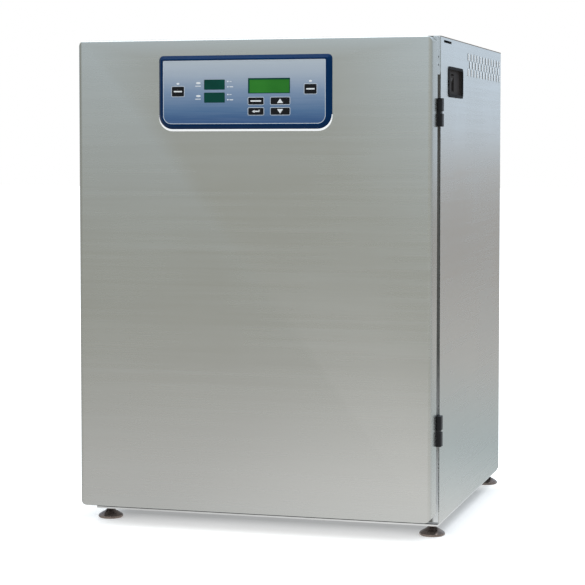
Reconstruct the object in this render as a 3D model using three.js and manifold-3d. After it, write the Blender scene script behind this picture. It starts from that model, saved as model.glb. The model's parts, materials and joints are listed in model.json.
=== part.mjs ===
// Free-standing laboratory incubator, 170 litres: a stainless cabinet on four levelling feet, a solid
// outer door that carries the control pod, a glass inner door, and a chamber with pull-out shelves.
// Millimetres, +Z up, the doors face -Y. The origin is on the floor under the middle of the object.
import * as THREE from "three";
import { mergeVertices } from "three/addons/utils/BufferGeometryUtils.js";
import Module from "manifold-3d";

const wasm = await Module();
wasm.setup();

// Driving dimensions. Lengths in Y are measured from the front of the outer door.
const GAP = 0.3; // between pieces that touch
const SHEET = 1.2;
const HALF_WIDTH = 330;
const DOOR_DEPTH = 45;
const DOOR_BOTTOM = 40.5;
const DOOR_TOP = 894.5;
const DOOR_ROUNDING = { upright: 8, level: 3.5, corner: 14 }; // front edges and corners
const BODY_FRONT = 73;
const BODY_BACK = 700;
const BODY_BOTTOM = 27;
const BODY_TOP = 898;
const BASE_THICKNESS = 2;

const CHAMBER = { halfWidth: 250, bottom: 90, top: 742, back: 602, corner: 28 };
const MOUTH_CORNER = 20;
const FLOOR_FLANGE = 12; // how far the chamber's mouth flange laps the front frame
const DUCT = { halfWidth: 150, front: 548, bottom: 120, intake: 55 };
const OUTLET = { columns: 6, pitch: 46, width: 34, height: 8, levels: [144, 164] };
const FILTER = { radius: 74, flange: 80, depth: 46 };
const FAN = { z: 640, radius: 64, eye: 44, shaft: 4, front: 558, back: 594, blades: 16 };
const MOTOR = { radius: 42, front: 606, back: 664 };
const SENSOR = { x: -120, z: 600, radius: 14, front: 570, back: 676 };
const PORT = { x: 205, z: 300, outer: 22, inner: 19 };

const SHELF = { halfWidth: 238, front: 104, back: 540, thickness: 1.5, lip: 12, levels: [215, 360, 505] };
const WINDOW = { rows: 4, columns: 5, pitchX: 84, pitchY: 104, width: 60, depth: 40, first: 166 };
const RACK = {
  front: 112, back: 536, bottom: 150, top: 545, web: 246.5, sheet: 1.5, ledge: 20.5, upright: 18, skirt: 14,
};
const PAN = { halfWidth: 200, front: 130, back: 500, height: 38, rim: 7, wall: 1.5, corner: 14 };

const FOOT = { x: 310.7, front: 104.9, back: 657.6, pad: 23.4, stem: 6.25, top: 52 };

const HINGE = { x: 334, y: 52, arm: 319, outer: 338, levels: [737, 170], heights: [50, 54], pin: 2 };
const INNER_HINGE = { x: 284, y: 62, boss: 5.5, pin: 2.4, bottom: 74, top: 758 };
const GLASS = { left: -266, right: 266, bottom: 74, top: 758, front: 62, back: 68 };
const KNOB = { x: -236, z: 416, radius: 14, front: 52.2 };

const POD = { x: -10.6, z: 799, halfWidth: 161.5, halfHeight: 66, bevel: 6.5, proud: 9 };
const OVERLAY = { halfWidth: 151.5, halfHeight: 56.8, front: -8.5, back: -7.5, corner: 15 };
const KEY_FRONT = -9.2;
const KEYS = [
  { name: "key_menu", x: 12.7, z: 782.8, width: 27.7, height: 11.5 },
  { name: "key_enter", x: 12.7, z: 764.4, width: 27.7, height: 11.5 },
  { name: "key_up", x: 57.6, z: 782.8, width: 34.4, height: 11.5 },
  { name: "key_down", x: 57.6, z: 764.4, width: 34.4, height: 11.5 },
  { name: "key_mode", x: -133.6, z: 800.6, width: 22.3, height: 16.6 },
  { name: "key_silence", x: 113.2, z: 803.5, width: 21.6, height: 16.2 },
];
const LCD = { x: 36.9, z: 809.8, width: 76.7, height: 26.3 };
const DIGITS = [
  { x: -64.8, z: 812.4, width: 38.4, height: 17.5 },
  { x: -64.8, z: 789.3, width: 38.4, height: 17.5 },
];

const SWITCH = { front: 141, back: 277, bottom: 791.5, top: 847, corner: 9, depth: 24, recess: 5 };
const ROCKER = { x: 315, y: 206, z: 819, halfLength: 15, halfWidth: 11, tilt: 8 };
const SWITCH_LAP = 3; // the housing's flange laps its cut-out
const SLOT = { front: 100, back: 170, bottom: 887.5, top: 892 };
const VENT = { first: 332, pitch: 31.6, columns: 12, width: 7.5, height: 17.5, rows: [843, 857.5, 872] };

const INLET = { x: -250, z: 845, halfWidth: 25, halfHeight: 16, barrelX: 18, barrelZ: 13 };
const REAR_VENT = { first: 40, columns: 8 };
const BARB = { x: -170, z: 845, thread: 6, back: 718 };
const STOPPER = { flange: 27, back: 712 };
const LOOM_GUARD = { inner: 322, outer: 328.5, bottom: 829, top: 896.5, corner: 9 };

const X = new THREE.Vector3(1, 0, 0);
const Y = new THREE.Vector3(0, 1, 0);
const Z = new THREE.Vector3(0, 0, 1);
const SIDES = [-1, 1];
const ROUND = 24; // sides of a round piece
const THROUGH = 5; // how far a cutter passes a sheet's faces

// Solids: closed meshes that can be joined and cut.
function solid(geometry) {
  const bare = geometry.index ? geometry.toNonIndexed() : geometry.clone();
  bare.deleteAttribute("normal");
  bare.deleteAttribute("uv");
  const merged = mergeVertices(bare, 1e-4);
  const mesh = new wasm.Mesh({
    numProp: 3,
    vertProperties: merged.attributes.position.array,
    triVerts: new Uint32Array(merged.index.array),
  });
  return new wasm.Manifold(mesh);
}

function geometryOf(piece) {
  const mesh = piece.getMesh();
  const geometry = new THREE.BufferGeometry();
  geometry.setAttribute("position", new THREE.BufferAttribute(mesh.vertProperties, 3));
  geometry.setIndex(new THREE.BufferAttribute(mesh.triVerts, 1));
  geometry.computeVertexNormals();
  return geometry;
}

function join(first, ...others) {
  return others.reduce((whole, piece) => whole.add(piece), first);
}

function cut(first, ...others) {
  return others.reduce((whole, piece) => whole.subtract(piece), first);
}

function box([x0, x1], [y0, y1], [z0, z1]) {
  const geometry = new THREE.BoxGeometry(x1 - x0, y1 - y0, z1 - z0);
  geometry.translate((x0 + x1) / 2, (y0 + y1) / 2, (z0 + z1) / 2);
  return solid(geometry);
}

// A rectangle whose corners have the radii [lower left, lower right, upper right, upper left].
function rectangle([u0, u1], [v0, v1], radii, steps = 6) {
  const [a, b, c, d] = radii;
  const corners = [
    { u: u0 + a, v: v0 + a, radius: a, start: Math.PI },
    { u: u1 - b, v: v0 + b, radius: b, start: 1.5 * Math.PI },
    { u: u1 - c, v: v1 - c, radius: c, start: 0 },
    { u: u0 + d, v: v1 - d, radius: d, start: 0.5 * Math.PI },
  ];
  const points = [];
  for (const corner of corners) {
    const count = corner.radius ? steps : 0;
    for (let i = 0; i <= count; i++) {
      const angle = corner.start + (count ? (i / count) * 0.5 * Math.PI : 0);
      const u = corner.u + corner.radius * Math.cos(angle);
      const v = corner.v + corner.radius * Math.sin(angle);
      points.push(new THREE.Vector2(u, v));
    }
  }
  return new THREE.Shape(points);
}

// Extrusions along each axis: the outline lies in (Y, Z), (X, Z) or (X, Y).
function extrude(outline, depth) {
  return new THREE.ExtrudeGeometry(outline, { depth, bevelEnabled: false });
}

function alongX(outline, from, to) {
  const geometry = extrude(outline, to - from);
  geometry.applyMatrix4(new THREE.Matrix4().makeBasis(Y, Z, X));
  geometry.translate(from, 0, 0);
  return solid(geometry);
}

function alongY(outline, from, to) {
  const geometry = extrude(outline, to - from);
  geometry.rotateX(Math.PI / 2);
  geometry.translate(0, to, 0);
  return solid(geometry);
}

function alongZ(outline, from, to) {
  const geometry = extrude(outline, to - from);
  geometry.translate(0, 0, from);
  return solid(geometry);
}

// A round piece about an axis through (a, b), from a profile of [radius, place along the axis].
function turned(axis, [a, b], profile, sides = ROUND) {
  const points = profile.map(([radius, along]) => new THREE.Vector2(radius, along));
  const geometry = new THREE.LatheGeometry(points, sides);
  if (axis === Z) {
    geometry.rotateX(Math.PI / 2);
    geometry.translate(a, b, 0);
  } else {
    geometry.translate(a, 0, b);
  }
  return solid(geometry);
}

function rod(axis, place, radius, from, to, sides = ROUND) {
  return turned(axis, place, [[0, from], [radius, from], [radius, to], [0, to]], sides);
}

// Materials and the scene graph.
function finish(color, roughness, metalness) {
  return new THREE.MeshStandardMaterial({ color, roughness, metalness });
}

const STAINLESS = { color: 0xb4b8b6, roughness: 0.35, metalness: 0.9 };
const LINER_STEEL = { color: 0xc6c9ca, roughness: 0.25, metalness: 0.9 };
const GALVANISED = { color: 0x9aa0a4, roughness: 0.5, metalness: 0.8 };
const WOOL = { color: 0xd8cfa8, roughness: 0.95, metalness: 0 };
const BLACK_PLASTIC = { color: 0x17181a, roughness: 0.45, metalness: 0 };
const BLACK_SILICONE = { color: 0x1c1d1f, roughness: 0.7, metalness: 0 };
const WHITE_SILICONE = { color: 0xe6e4dc, roughness: 0.6, metalness: 0 };
const BLUE_PLASTIC = { color: 0x16326a, roughness: 0.3, metalness: 0 };
const OVERLAY_FILM = { color: 0x7f9cc4, roughness: 0.35, metalness: 0.2 };
const GREEN_DISPLAY = { color: 0x2f8c2c, roughness: 0.2, metalness: 0 };
const DARK_FILTER = { color: 0x05443f, roughness: 0.15, metalness: 0 };
const BOARD_GREEN = { color: 0x1d5a34, roughness: 0.6, metalness: 0 };
const FOOT_BRONZE = { color: 0x3b2f29, roughness: 0.4, metalness: 0.5 };
const CLEAR_GLASS = { color: 0xcfe3dd, roughness: 0.05, metalness: 0 };
const FILTER_PAPER = { color: 0xf0efe8, roughness: 0.9, metalness: 0 };
const BRASS = { color: 0xb08d3c, roughness: 0.35, metalness: 0.9 };
const GREY_PLASTIC = { color: 0x8f9498, roughness: 0.5, metalness: 0 };
const DARK_FRAME = { color: 0x3f3c39, roughness: 0.6, metalness: 0 };

const incubator = new THREE.Group();
const cabinet = new THREE.Group();
const outerDoor = new THREE.Group();
const innerDoor = new THREE.Group();
incubator.add(cabinet, outerDoor, innerDoor);

function add(parent, name, piece, look) {
  const mesh = new THREE.Mesh(geometryOf(piece), finish(look.color, look.roughness, look.metalness));
  mesh.name = name;
  parent.add(mesh);
  return mesh;
}

// Outer panels of the cabinet.
const PANEL_INSIDE = HALF_WIDTH - SHEET - GAP;

function sideOutline() {
  return rectangle([BODY_FRONT, BODY_BACK], [BODY_BOTTOM, BODY_TOP], [0, 0, 0, 0]);
}

function pill(y, z, width, height) {
  const radius = Math.min(width, height) / 2 - 0.01;
  const radii = [radius, radius, radius, radius];
  return rectangle([y - width / 2, y + width / 2], [z - height / 2, z + height / 2], radii, 1);
}

function ventHoles() {
  const holes = [];
  VENT.rows.forEach((z, row) => {
    const shift = row === 1 ? VENT.pitch / 2 : 0;
    const columns = row === 1 ? VENT.columns - 1 : VENT.columns;
    for (let column = 0; column < columns; column++) {
      const y = VENT.first + shift + column * VENT.pitch;
      holes.push(pill(y, z, VENT.width, VENT.height));
    }
  });
  return holes;
}

function switchOutline(margin) {
  const radius = SWITCH.corner + margin;
  return rectangle(
    [SWITCH.front - margin, SWITCH.back + margin],
    [SWITCH.bottom - margin, SWITCH.top + margin],
    [radius, radius, radius, radius],
  );
}

function rightSidePanel() {
  const outline = sideOutline();
  outline.holes.push(...ventHoles());
  outline.holes.push(rectangle([SLOT.front, SLOT.back], [SLOT.bottom, SLOT.top], [1.9, 1.9, 1.9, 1.9], 2));
  outline.holes.push(switchOutline(-SWITCH_LAP));
  return alongX(outline, HALF_WIDTH - SHEET, HALF_WIDTH);
}

function plateXZ(bottom, top) {
  return rectangle([-PANEL_INSIDE, PANEL_INSIDE], [bottom, top], [0, 0, 0, 0]);
}

const FRAME_BOTTOM = BODY_BOTTOM + BASE_THICKNESS + GAP;
const FRAME_TOP = BODY_TOP - SHEET - GAP;

function rearPanel() {
  const outline = plateXZ(FRAME_BOTTOM, FRAME_TOP);
  const inletX = INLET.barrelX + 1;
  const inletZ = INLET.barrelZ + 1;
  outline.holes.push(rectangle(
    [INLET.x - inletX, INLET.x + inletX], [INLET.z - inletZ, INLET.z + inletZ], [2, 2, 2, 2], 2,
  ));
  for (let column = 0; column < REAR_VENT.columns; column++) {
    const x = REAR_VENT.first + column * VENT.pitch;
    outline.holes.push(pill(x, VENT.rows[1], VENT.width, VENT.height));
  }
  const holes = [
    rod(Y, [BARB.x, BARB.z], BARB.thread + GAP, BODY_BACK - THROUGH, BODY_BACK + THROUGH),
    rod(Y, [PORT.x, PORT.z], PORT.outer + GAP, BODY_BACK - THROUGH, BODY_BACK + THROUGH),
  ];
  return cut(alongY(outline, BODY_BACK - SHEET, BODY_BACK), ...holes);
}

function footPlaces() {
  const places = [];
  for (const [end, y] of [["front", FOOT.front], ["rear", FOOT.back]]) {
    for (const side of SIDES) {
      places.push({ name: `levelling_foot_${end}_${side < 0 ? "left" : "right"}`, x: side * FOOT.x, y });
    }
  }
  return places;
}

function basePlate() {
  const plate = box(
    [-PANEL_INSIDE, PANEL_INSIDE],
    [BODY_FRONT, BODY_BACK],
    [BODY_BOTTOM, BODY_BOTTOM + BASE_THICKNESS],
  );
  const from = BODY_BOTTOM - THROUGH;
  const to = BODY_BOTTOM + BASE_THICKNESS + THROUGH;
  const holes = footPlaces().map(({ x, y }) => rod(Z, [x, y], FOOT.stem + GAP, from, to));
  return cut(plate, ...holes);
}

function frontFrame() {
  const outline = plateXZ(FRAME_BOTTOM, FRAME_TOP);
  const radii = [MOUTH_CORNER, MOUTH_CORNER, MOUTH_CORNER, MOUTH_CORNER];
  outline.holes.push(rectangle(
    [-CHAMBER.halfWidth, CHAMBER.halfWidth], [CHAMBER.bottom, CHAMBER.top], radii,
  ));
  return alongY(outline, BODY_FRONT, BODY_FRONT + SHEET);
}

add(cabinet, "left_side_panel", alongX(sideOutline(), -HALF_WIDTH, -HALF_WIDTH + SHEET), STAINLESS);
add(cabinet, "right_side_panel", rightSidePanel(), STAINLESS);
add(
  cabinet,
  "top_cover",
  box([-PANEL_INSIDE, PANEL_INSIDE], [BODY_FRONT, BODY_BACK], [BODY_TOP - SHEET, BODY_TOP]),
  STAINLESS,
);
add(cabinet, "base_plate", basePlate(), GALVANISED);
add(cabinet, "rear_panel", rearPanel(), STAINLESS);
add(cabinet, "front_frame", frontFrame(), DARK_FRAME);

// Chamber: a coved liner open at the front, with an air jacket and insulation round it.
function chamberOutline(margin) {
  const radius = CHAMBER.corner + margin;
  return rectangle(
    [-CHAMBER.halfWidth - margin, CHAMBER.halfWidth + margin],
    [CHAMBER.bottom - margin, CHAMBER.top + margin],
    [radius, radius, radius, radius],
  );
}

function chamberLiner() {
  const front = BODY_FRONT + SHEET + GAP;
  const shell = alongY(chamberOutline(SHEET), front, CHAMBER.back + SHEET);
  const flange = alongY(chamberOutline(FLOOR_FLANGE), front, front + SHEET);
  const room = alongY(chamberOutline(0), front - THROUGH, CHAMBER.back);
  const from = CHAMBER.back - THROUGH;
  const to = CHAMBER.back + THROUGH;
  const holes = [
    rod(Y, [0, FAN.z], FAN.shaft + 2, from, to),
    rod(Y, [SENSOR.x, SENSOR.z], SENSOR.radius + GAP, from, to),
    rod(Y, [PORT.x, PORT.z], PORT.outer + GAP, from, to),
  ];
  return cut(join(shell, flange), room, ...holes);
}

const WOOL_TOP = 784;
const WOOL_BACK = 609;
const JACKET = 11; // air space between the liner and the insulation
const FOOT_POCKET = { radius: 9, above: 4 };

function insulationWrap() {
  const outline = plateXZ(FRAME_BOTTOM + GAP, WOOL_TOP);
  outline.holes.push(rectangle(
    [-CHAMBER.halfWidth - JACKET, CHAMBER.halfWidth + JACKET],
    [CHAMBER.bottom - JACKET, CHAMBER.top + JACKET],
    [CHAMBER.corner, CHAMBER.corner, CHAMBER.corner, CHAMBER.corner],
  ));
  const wrap = alongY(outline, BODY_FRONT + 6, WOOL_BACK);
  const pockets = footPlaces().map(({ x, y }) => (
    rod(Z, [x, y], FOOT_POCKET.radius, BODY_BOTTOM - THROUGH, FOOT.top + FOOT_POCKET.above)
  ));
  return cut(wrap, ...pockets);
}

const REAR_WOOL = { halfWidth: 300, bottom: 80, front: 610, back: 662 };

function insulationRear() {
  const slab = box(
    [-REAR_WOOL.halfWidth, REAR_WOOL.halfWidth],
    [REAR_WOOL.front, REAR_WOOL.back],
    [REAR_WOOL.bottom, WOOL_TOP],
  );
  const from = REAR_WOOL.front - THROUGH;
  const to = REAR_WOOL.back + THROUGH;
  const holes = [
    rod(Y, [0, FAN.z], MOTOR.radius + 3, from, to),
    rod(Y, [SENSOR.x, SENSOR.z], SENSOR.radius + 2, from, to),
    rod(Y, [PORT.x, PORT.z], PORT.outer + 2, from, to),
  ];
  return cut(slab, ...holes);
}

// A flat element that runs to and fro under the chamber: slots from alternate sides leave its track.
const HEATER = { halfWidth: 228, front: 102, back: 588, bottom: 82, top: 85, track: 28 };
const HEATER_SLOT = { count: 9, first: 150, pitch: 48, width: 14 };

function baseHeater() {
  const { halfWidth, front, back, bottom, top, track } = HEATER;
  const plate = box([-halfWidth, halfWidth], [front, back], [bottom, top]);
  const open = halfWidth + THROUGH;
  const shut = halfWidth - track;
  const slots = [];
  for (let i = 0; i < HEATER_SLOT.count; i++) {
    const y = HEATER_SLOT.first + i * HEATER_SLOT.pitch;
    const across = i % 2 ? [-shut, open] : [-open, shut];
    slots.push(box(across, [y, y + HEATER_SLOT.width], [bottom - THROUGH, top + THROUGH]));
  }
  return cut(plate, ...slots);
}

add(cabinet, "chamber_liner", chamberLiner(), LINER_STEEL);
add(cabinet, "insulation_wrap", insulationWrap(), WOOL);
add(cabinet, "insulation_rear", insulationRear(), WOOL);
add(cabinet, "chamber_heater", baseHeater(), BRASS);

// Chamber fittings.
function ductCover() {
  const depth = CHAMBER.back - GAP - DUCT.front;
  const outer = box(
    [-DUCT.halfWidth, DUCT.halfWidth],
    [DUCT.front, DUCT.front + depth],
    [DUCT.bottom, CHAMBER.top - GAP],
  );
  const inner = box(
    [-DUCT.halfWidth + SHEET, DUCT.halfWidth - SHEET],
    [DUCT.front + SHEET, DUCT.front + depth + THROUGH],
    [DUCT.bottom + SHEET, CHAMBER.top - GAP - SHEET],
  );
  const through = [DUCT.front - THROUGH, DUCT.front + THROUGH];
  const outlets = [];
  for (const z of OUTLET.levels) {
    for (let i = 0; i < OUTLET.columns; i++) {
      const x = (i - (OUTLET.columns - 1) / 2) * OUTLET.pitch;
      outlets.push(box(
        [x - OUTLET.width / 2, x + OUTLET.width / 2], through, [z - OUTLET.height / 2, z + OUTLET.height / 2],
      ));
    }
  }
  const intake = rod(Y, [0, FAN.z], DUCT.intake, ...through);
  return cut(outer, inner, intake, ...outlets);
}

function airFilter() {
  const { radius, flange, depth } = FILTER;
  const front = DUCT.front - depth;
  const flangeFront = DUCT.front - 6;
  const back = DUCT.front - GAP;
  return turned(Y, [0, FAN.z], [
    [0, front], [radius - 4, front], [radius, front + 3], [radius, flangeFront],
    [flange, flangeFront], [flange, back], [0, back],
  ], 32);
}

function shelfRack(side) {
  const { front, back, bottom, top, sheet, upright, skirt } = RACK;
  const faces = (inner, outer) => (side > 0 ? [inner, outer] : [-outer, -inner]);
  const web = faces(RACK.web, RACK.web + sheet);
  const ledge = faces(RACK.web - RACK.ledge, RACK.web + sheet / 3);
  const uprights = [front, (front + back - upright) / 2, back - upright];
  const pieces = uprights.map((y) => box(web, [y, y + upright], [bottom, top]));
  for (const shelfBottom of SHELF.levels) {
    const level = shelfBottom - GAP;
    pieces.push(box(ledge, [front, back], [level - 2, level]));
    pieces.push(box(web, [front, back], [level - skirt, level]));
  }
  return join(...pieces);
}

function shelf() {
  const { halfWidth, front, back, thickness, lip } = SHELF;
  const { rows, columns, pitchX, pitchY, width, depth, first } = WINDOW;
  const windows = [];
  for (let row = 0; row < rows; row++) {
    for (let column = 0; column < columns; column++) {
      const x = (column - (columns - 1) / 2) * pitchX;
      const y = first + row * pitchY;
      windows.push(box(
        [x - width / 2, x + width / 2], [y - depth / 2, y + depth / 2], [-THROUGH, thickness + THROUGH],
      ));
    }
  }
  const lipHalf = RACK.web - RACK.ledge - 2;
  const lips = [
    box([-lipHalf, lipHalf], [front, front + SHEET], [-lip, thickness / 3]),
    box([-lipHalf, lipHalf], [back - SHEET, back], [-lip, thickness / 3]),
  ];
  const sheet = alongZ(rectangle([-halfWidth, halfWidth], [front, back], [6, 6, 6, 6], 2), 0, thickness);
  return cut(join(sheet, ...lips), ...windows);
}

function humidityPan() {
  const { halfWidth, front, back, height, rim, wall, corner } = PAN;
  const outline = (margin) => rectangle(
    [-halfWidth + margin, halfWidth - margin],
    [front + margin, back - margin],
    [corner, corner, corner, corner],
    3,
  );
  const bottom = CHAMBER.bottom + GAP;
  const top = bottom + height;
  const tray = join(alongZ(outline(0), bottom, top), alongZ(outline(-rim), top - 2, top));
  return cut(tray, alongZ(outline(wall), bottom + wall, top + THROUGH));
}

add(cabinet, "air_duct_cover", ductCover(), LINER_STEEL);
add(cabinet, "air_filter", airFilter(), FILTER_PAPER);
add(cabinet, "shelf_rack_left", shelfRack(-1), LINER_STEEL);
add(cabinet, "shelf_rack_right", shelfRack(1), LINER_STEEL);
add(cabinet, "humidity_pan", humidityPan(), LINER_STEEL);
["lower", "middle", "upper"].forEach((place, i) => {
  const tray = add(cabinet, `shelf_${place}`, shelf(), LINER_STEEL);
  tray.position.z = SHELF.levels[i];
});

// Blower: the motor sits in the rear insulation, its shaft passes the liner, the wheel is in the duct.
function blowerWheel() {
  const { z, radius, eye, shaft, front, back, blades } = FAN;
  const disc = turned(Y, [0, z], [
    [0, front + 6], [9, front + 6], [14, back - 2], [radius, back - 2],
    [radius, back], [shaft, back], [shaft, MOTOR.front - GAP], [0, MOTOR.front - GAP],
  ], 20);
  const sheet = 1.5;
  const shroud = cut(
    rod(Y, [0, z], radius, front, front + sheet),
    rod(Y, [0, z], eye, front - THROUGH, front + THROUGH),
  );
  const sweep = THREE.MathUtils.degToRad(40);
  const vanes = [];
  for (let i = 0; i < blades; i++) {
    const vane = new THREE.BoxGeometry(radius - eye, back - front - sheet, sheet);
    vane.rotateY(sweep);
    vane.translate(eye + 8, (front + back) / 2, 0);
    vane.rotateY((i / blades) * 2 * Math.PI);
    vane.translate(0, 0, z);
    vanes.push(solid(vane));
  }
  return join(disc, shroud, ...vanes);
}

function blowerMotor() {
  const { radius, front, back } = MOTOR;
  return turned(Y, [0, FAN.z], [
    [0, front], [radius - 6, front], [radius, front + 5], [radius, back - 12],
    [radius - 10, back], [12, back], [12, back + 10], [0, back + 10],
  ]);
}

add(cabinet, "blower_wheel", blowerWheel(), GALVANISED);
add(cabinet, "blower_motor", blowerMotor(), GREY_PLASTIC);

function sensorHead() {
  const { x, z, radius, front, back } = SENSOR;
  const neck = radius - 2;
  const shoulder = CHAMBER.back - 3;
  return turned(Y, [x, z], [
    [0, front], [neck - 2, front], [neck, front + 3], [neck, shoulder - 2], [radius, shoulder],
    [radius, back], [0, back],
  ], 20);
}

function portTube() {
  const front = CHAMBER.back - 2;
  const back = BODY_BACK;
  return turned(Y, [PORT.x, PORT.z], [
    [PORT.inner, front], [PORT.outer, front], [PORT.outer, back], [PORT.inner, back], [PORT.inner, front],
  ]);
}

function portStopper() {
  const radius = PORT.inner - GAP;
  const { flange, back } = STOPPER;
  return turned(Y, [PORT.x, PORT.z], [
    [0, CHAMBER.back - 1], [radius - 2, CHAMBER.back - 1], [radius, CHAMBER.back + 4],
    [radius, BODY_BACK + GAP], [flange, BODY_BACK + GAP], [flange, back - 2],
    [flange - 2, back], [0, back],
  ]);
}

add(cabinet, "gas_temperature_sensor", sensorHead(), GREY_PLASTIC);
add(cabinet, "access_port_tube", portTube(), GREY_PLASTIC);
add(cabinet, "access_port_stopper", portStopper(), WHITE_SILICONE);

// Electronics bay above the chamber.
const TRAY_BOTTOM = 786;
const TRAY_TOP = TRAY_BOTTOM + SHEET;
const BAY_FLOOR = TRAY_TOP + GAP;
const BOARD = { left: -180, right: 60, front: 380, back: 600, lift: 8, thickness: 2 };
const SUPPLY = { left: 110, right: 240, front: 400, back: 600, height: 48, terminals: 20 };
const VALVE = { halfWidth: 20, front: 632, back: 668, foot: 20, top: 66, coil: 14, port: 5 };

function mainBoard() {
  const { left, right, front, back, lift, thickness } = BOARD;
  const top = BAY_FLOOR + lift + thickness;
  const inside = top - 1;
  const standoffs = [];
  for (const x of [left + 10, right - 10]) {
    for (const y of [front + 10, back - 10]) {
      standoffs.push(rod(Z, [x, y], 4, BAY_FLOOR, inside, 8));
    }
  }
  const transformer = box([left + 20, left + 80], [front + 20, front + 70], [inside, inside + 36]);
  const heatSink = box([left + 110, left + 140], [front + 40, front + 140], [inside, inside + 16]);
  const connectors = box([left + 30, right - 30], [back - 40, back - 15], [inside, inside + 13]);
  const capacitors = [front + 50, front + 90].map((y) => (
    rod(Z, [right - 50, y], 14, inside, inside + 33, 16)
  ));
  const board = box([left, right], [front, back], [BAY_FLOOR + lift, top]);
  return join(board, transformer, heatSink, connectors, ...capacitors, ...standoffs);
}

function powerSupply() {
  const { left, right, front, back, height, terminals } = SUPPLY;
  const housing = box([left, right], [front, back], [BAY_FLOOR, BAY_FLOOR + height]);
  const strip = box([left + 10, right - 10], [front - terminals, front + 1], [BAY_FLOOR, BAY_FLOOR + 18]);
  return join(housing, strip);
}

function gasValve() {
  const { halfWidth, front, back, foot, top, coil, port } = VALVE;
  const width = [BARB.x - halfWidth, BARB.x + halfWidth];
  const block = box(width, [front, back], [BAY_FLOOR + foot, BAY_FLOOR + top]);
  const solenoid = rod(Z, [BARB.x, (front + back) / 2], coil, BAY_FLOOR, BAY_FLOOR + foot + 1);
  const outlet = rod(Y, [BARB.x, BARB.z], port, back - 1, back + 16, 12);
  return join(block, solenoid, outlet);
}

add(
  cabinet,
  "electronics_tray",
  box([-PANEL_INSIDE, PANEL_INSIDE], [BODY_FRONT + 10, BODY_BACK - 10], [TRAY_BOTTOM, TRAY_TOP]),
  GALVANISED,
);
add(cabinet, "main_circuit_board", mainBoard(), BOARD_GREEN);
add(cabinet, "power_supply", powerSupply(), GALVANISED);
add(cabinet, "gas_solenoid_valve", gasValve(), BRASS);

// Fittings on the rear panel.
function mainsInlet() {
  const outside = BODY_BACK + GAP;
  const flange = alongY(rectangle(
    [INLET.x - INLET.halfWidth, INLET.x + INLET.halfWidth],
    [INLET.z - INLET.halfHeight, INLET.z + INLET.halfHeight],
    [4, 4, 4, 4], 3,
  ), outside, outside + 3);
  const barrel = box(
    [INLET.x - INLET.barrelX, INLET.x + INLET.barrelX],
    [BODY_BACK - 28, outside + 1],
    [INLET.z - INLET.barrelZ, INLET.z + INLET.barrelZ],
  );
  const socketX = INLET.barrelX - 4.5;
  const socketZ = INLET.barrelZ - 3.5;
  const floor = BODY_BACK - 14;
  const socket = alongY(rectangle(
    [INLET.x - socketX, INLET.x + socketX], [INLET.z - socketZ, INLET.z + socketZ], [1, 1, 5, 5], 2,
  ), floor, outside + 20);
  const pins = [[-7, -3], [0, 1], [7, -3]].map(([x, z]) => (
    box([INLET.x + x - 1, INLET.x + x + 1], [floor - 2, BODY_BACK], [INLET.z + z - 2, INLET.z + z + 2])
  ));
  return join(cut(join(flange, barrel), socket), ...pins);
}

function gasInletBarb() {
  const { x, z, thread, back } = BARB;
  const seat = BODY_BACK + GAP;
  const nutBack = BODY_BACK + 6;
  return join(
    rod(Y, [x, z], thread, BODY_BACK - 12, seat + 1, 16),
    turned(Y, [x, z], [
      [0, seat], [10, seat], [10, nutBack], [4.5, nutBack], [3.6, nutBack + 2], [4.8, nutBack + 4],
      [3.6, nutBack + 8], [4.6, nutBack + 9], [3.2, back], [0, back],
    ], 12),
  );
}

add(cabinet, "mains_inlet", mainsInlet(), BLACK_PLASTIC);
add(cabinet, "gas_inlet_barb", gasInletBarb(), BRASS);

// Levelling feet: a conical pad on a threaded stem that passes the base plate.
for (const { name, x, y } of footPlaces()) {
  const foot = add(cabinet, name, turned(Z, [0, 0], [
    [0, 0], [FOOT.pad - 1.8, 0], [FOOT.pad, 2], [FOOT.pad, 4.4], [FOOT.pad - 1.8, 6.6],
    [16.2, 10], [10.2, 13.4], [7.6, 15.6], [FOOT.stem, 16.2], [FOOT.stem, FOOT.top], [0, FOOT.top],
  ], 32), FOOT_BRONZE);
  foot.position.set(x, y, 0);
}

// Power switch: a deep plastic cup let into the right side, with a rocker on a cross pin.
function switchHousing() {
  const floor = HALF_WIDTH - SWITCH.depth;
  const wall = 2;
  const flange = alongX(switchOutline(0), HALF_WIDTH + GAP, HALF_WIDTH + 1.8);
  const cup = alongX(switchOutline(-SWITCH_LAP - GAP), floor, HALF_WIDTH + 1);
  const room = alongX(switchOutline(-SWITCH_LAP - GAP - wall), HALF_WIDTH - SWITCH.recess, HALF_WIDTH + 10);
  const { y, z, halfWidth, halfLength } = ROCKER;
  const well = box([floor + 2, HALF_WIDTH], [y - halfWidth - 0.6, y + halfWidth + 0.6],
    [z - halfLength - 0.8, z + halfLength + 0.8]);
  return cut(join(flange, cup), room, well);
}

// The rocker rests with its lower half pressed in; its face is a shallow V about the pivot.
function powerRocker() {
  const { x, y, z, halfWidth, halfLength, tilt } = ROCKER;
  const face = new THREE.Shape([
    new THREE.Vector2(-4, -6),
    new THREE.Vector2(5.4, -halfLength + 0.8),
    new THREE.Vector2(8.6, -halfLength + 0.8),
    new THREE.Vector2(6.2, 0),
    new THREE.Vector2(8.6, halfLength - 0.8),
    new THREE.Vector2(5.4, halfLength - 0.8),
    new THREE.Vector2(-4, 6),
  ]);
  const geometry = extrude(face, 2 * halfWidth);
  geometry.rotateX(Math.PI / 2);
  geometry.translate(0, halfWidth, 0);
  geometry.rotateY(THREE.MathUtils.degToRad(tilt));
  geometry.translate(x, y, z);
  return solid(geometry);
}

add(cabinet, "switch_housing", switchHousing(), BLACK_PLASTIC);
add(cabinet, "power_rocker", powerRocker(), BLACK_PLASTIC);

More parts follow.
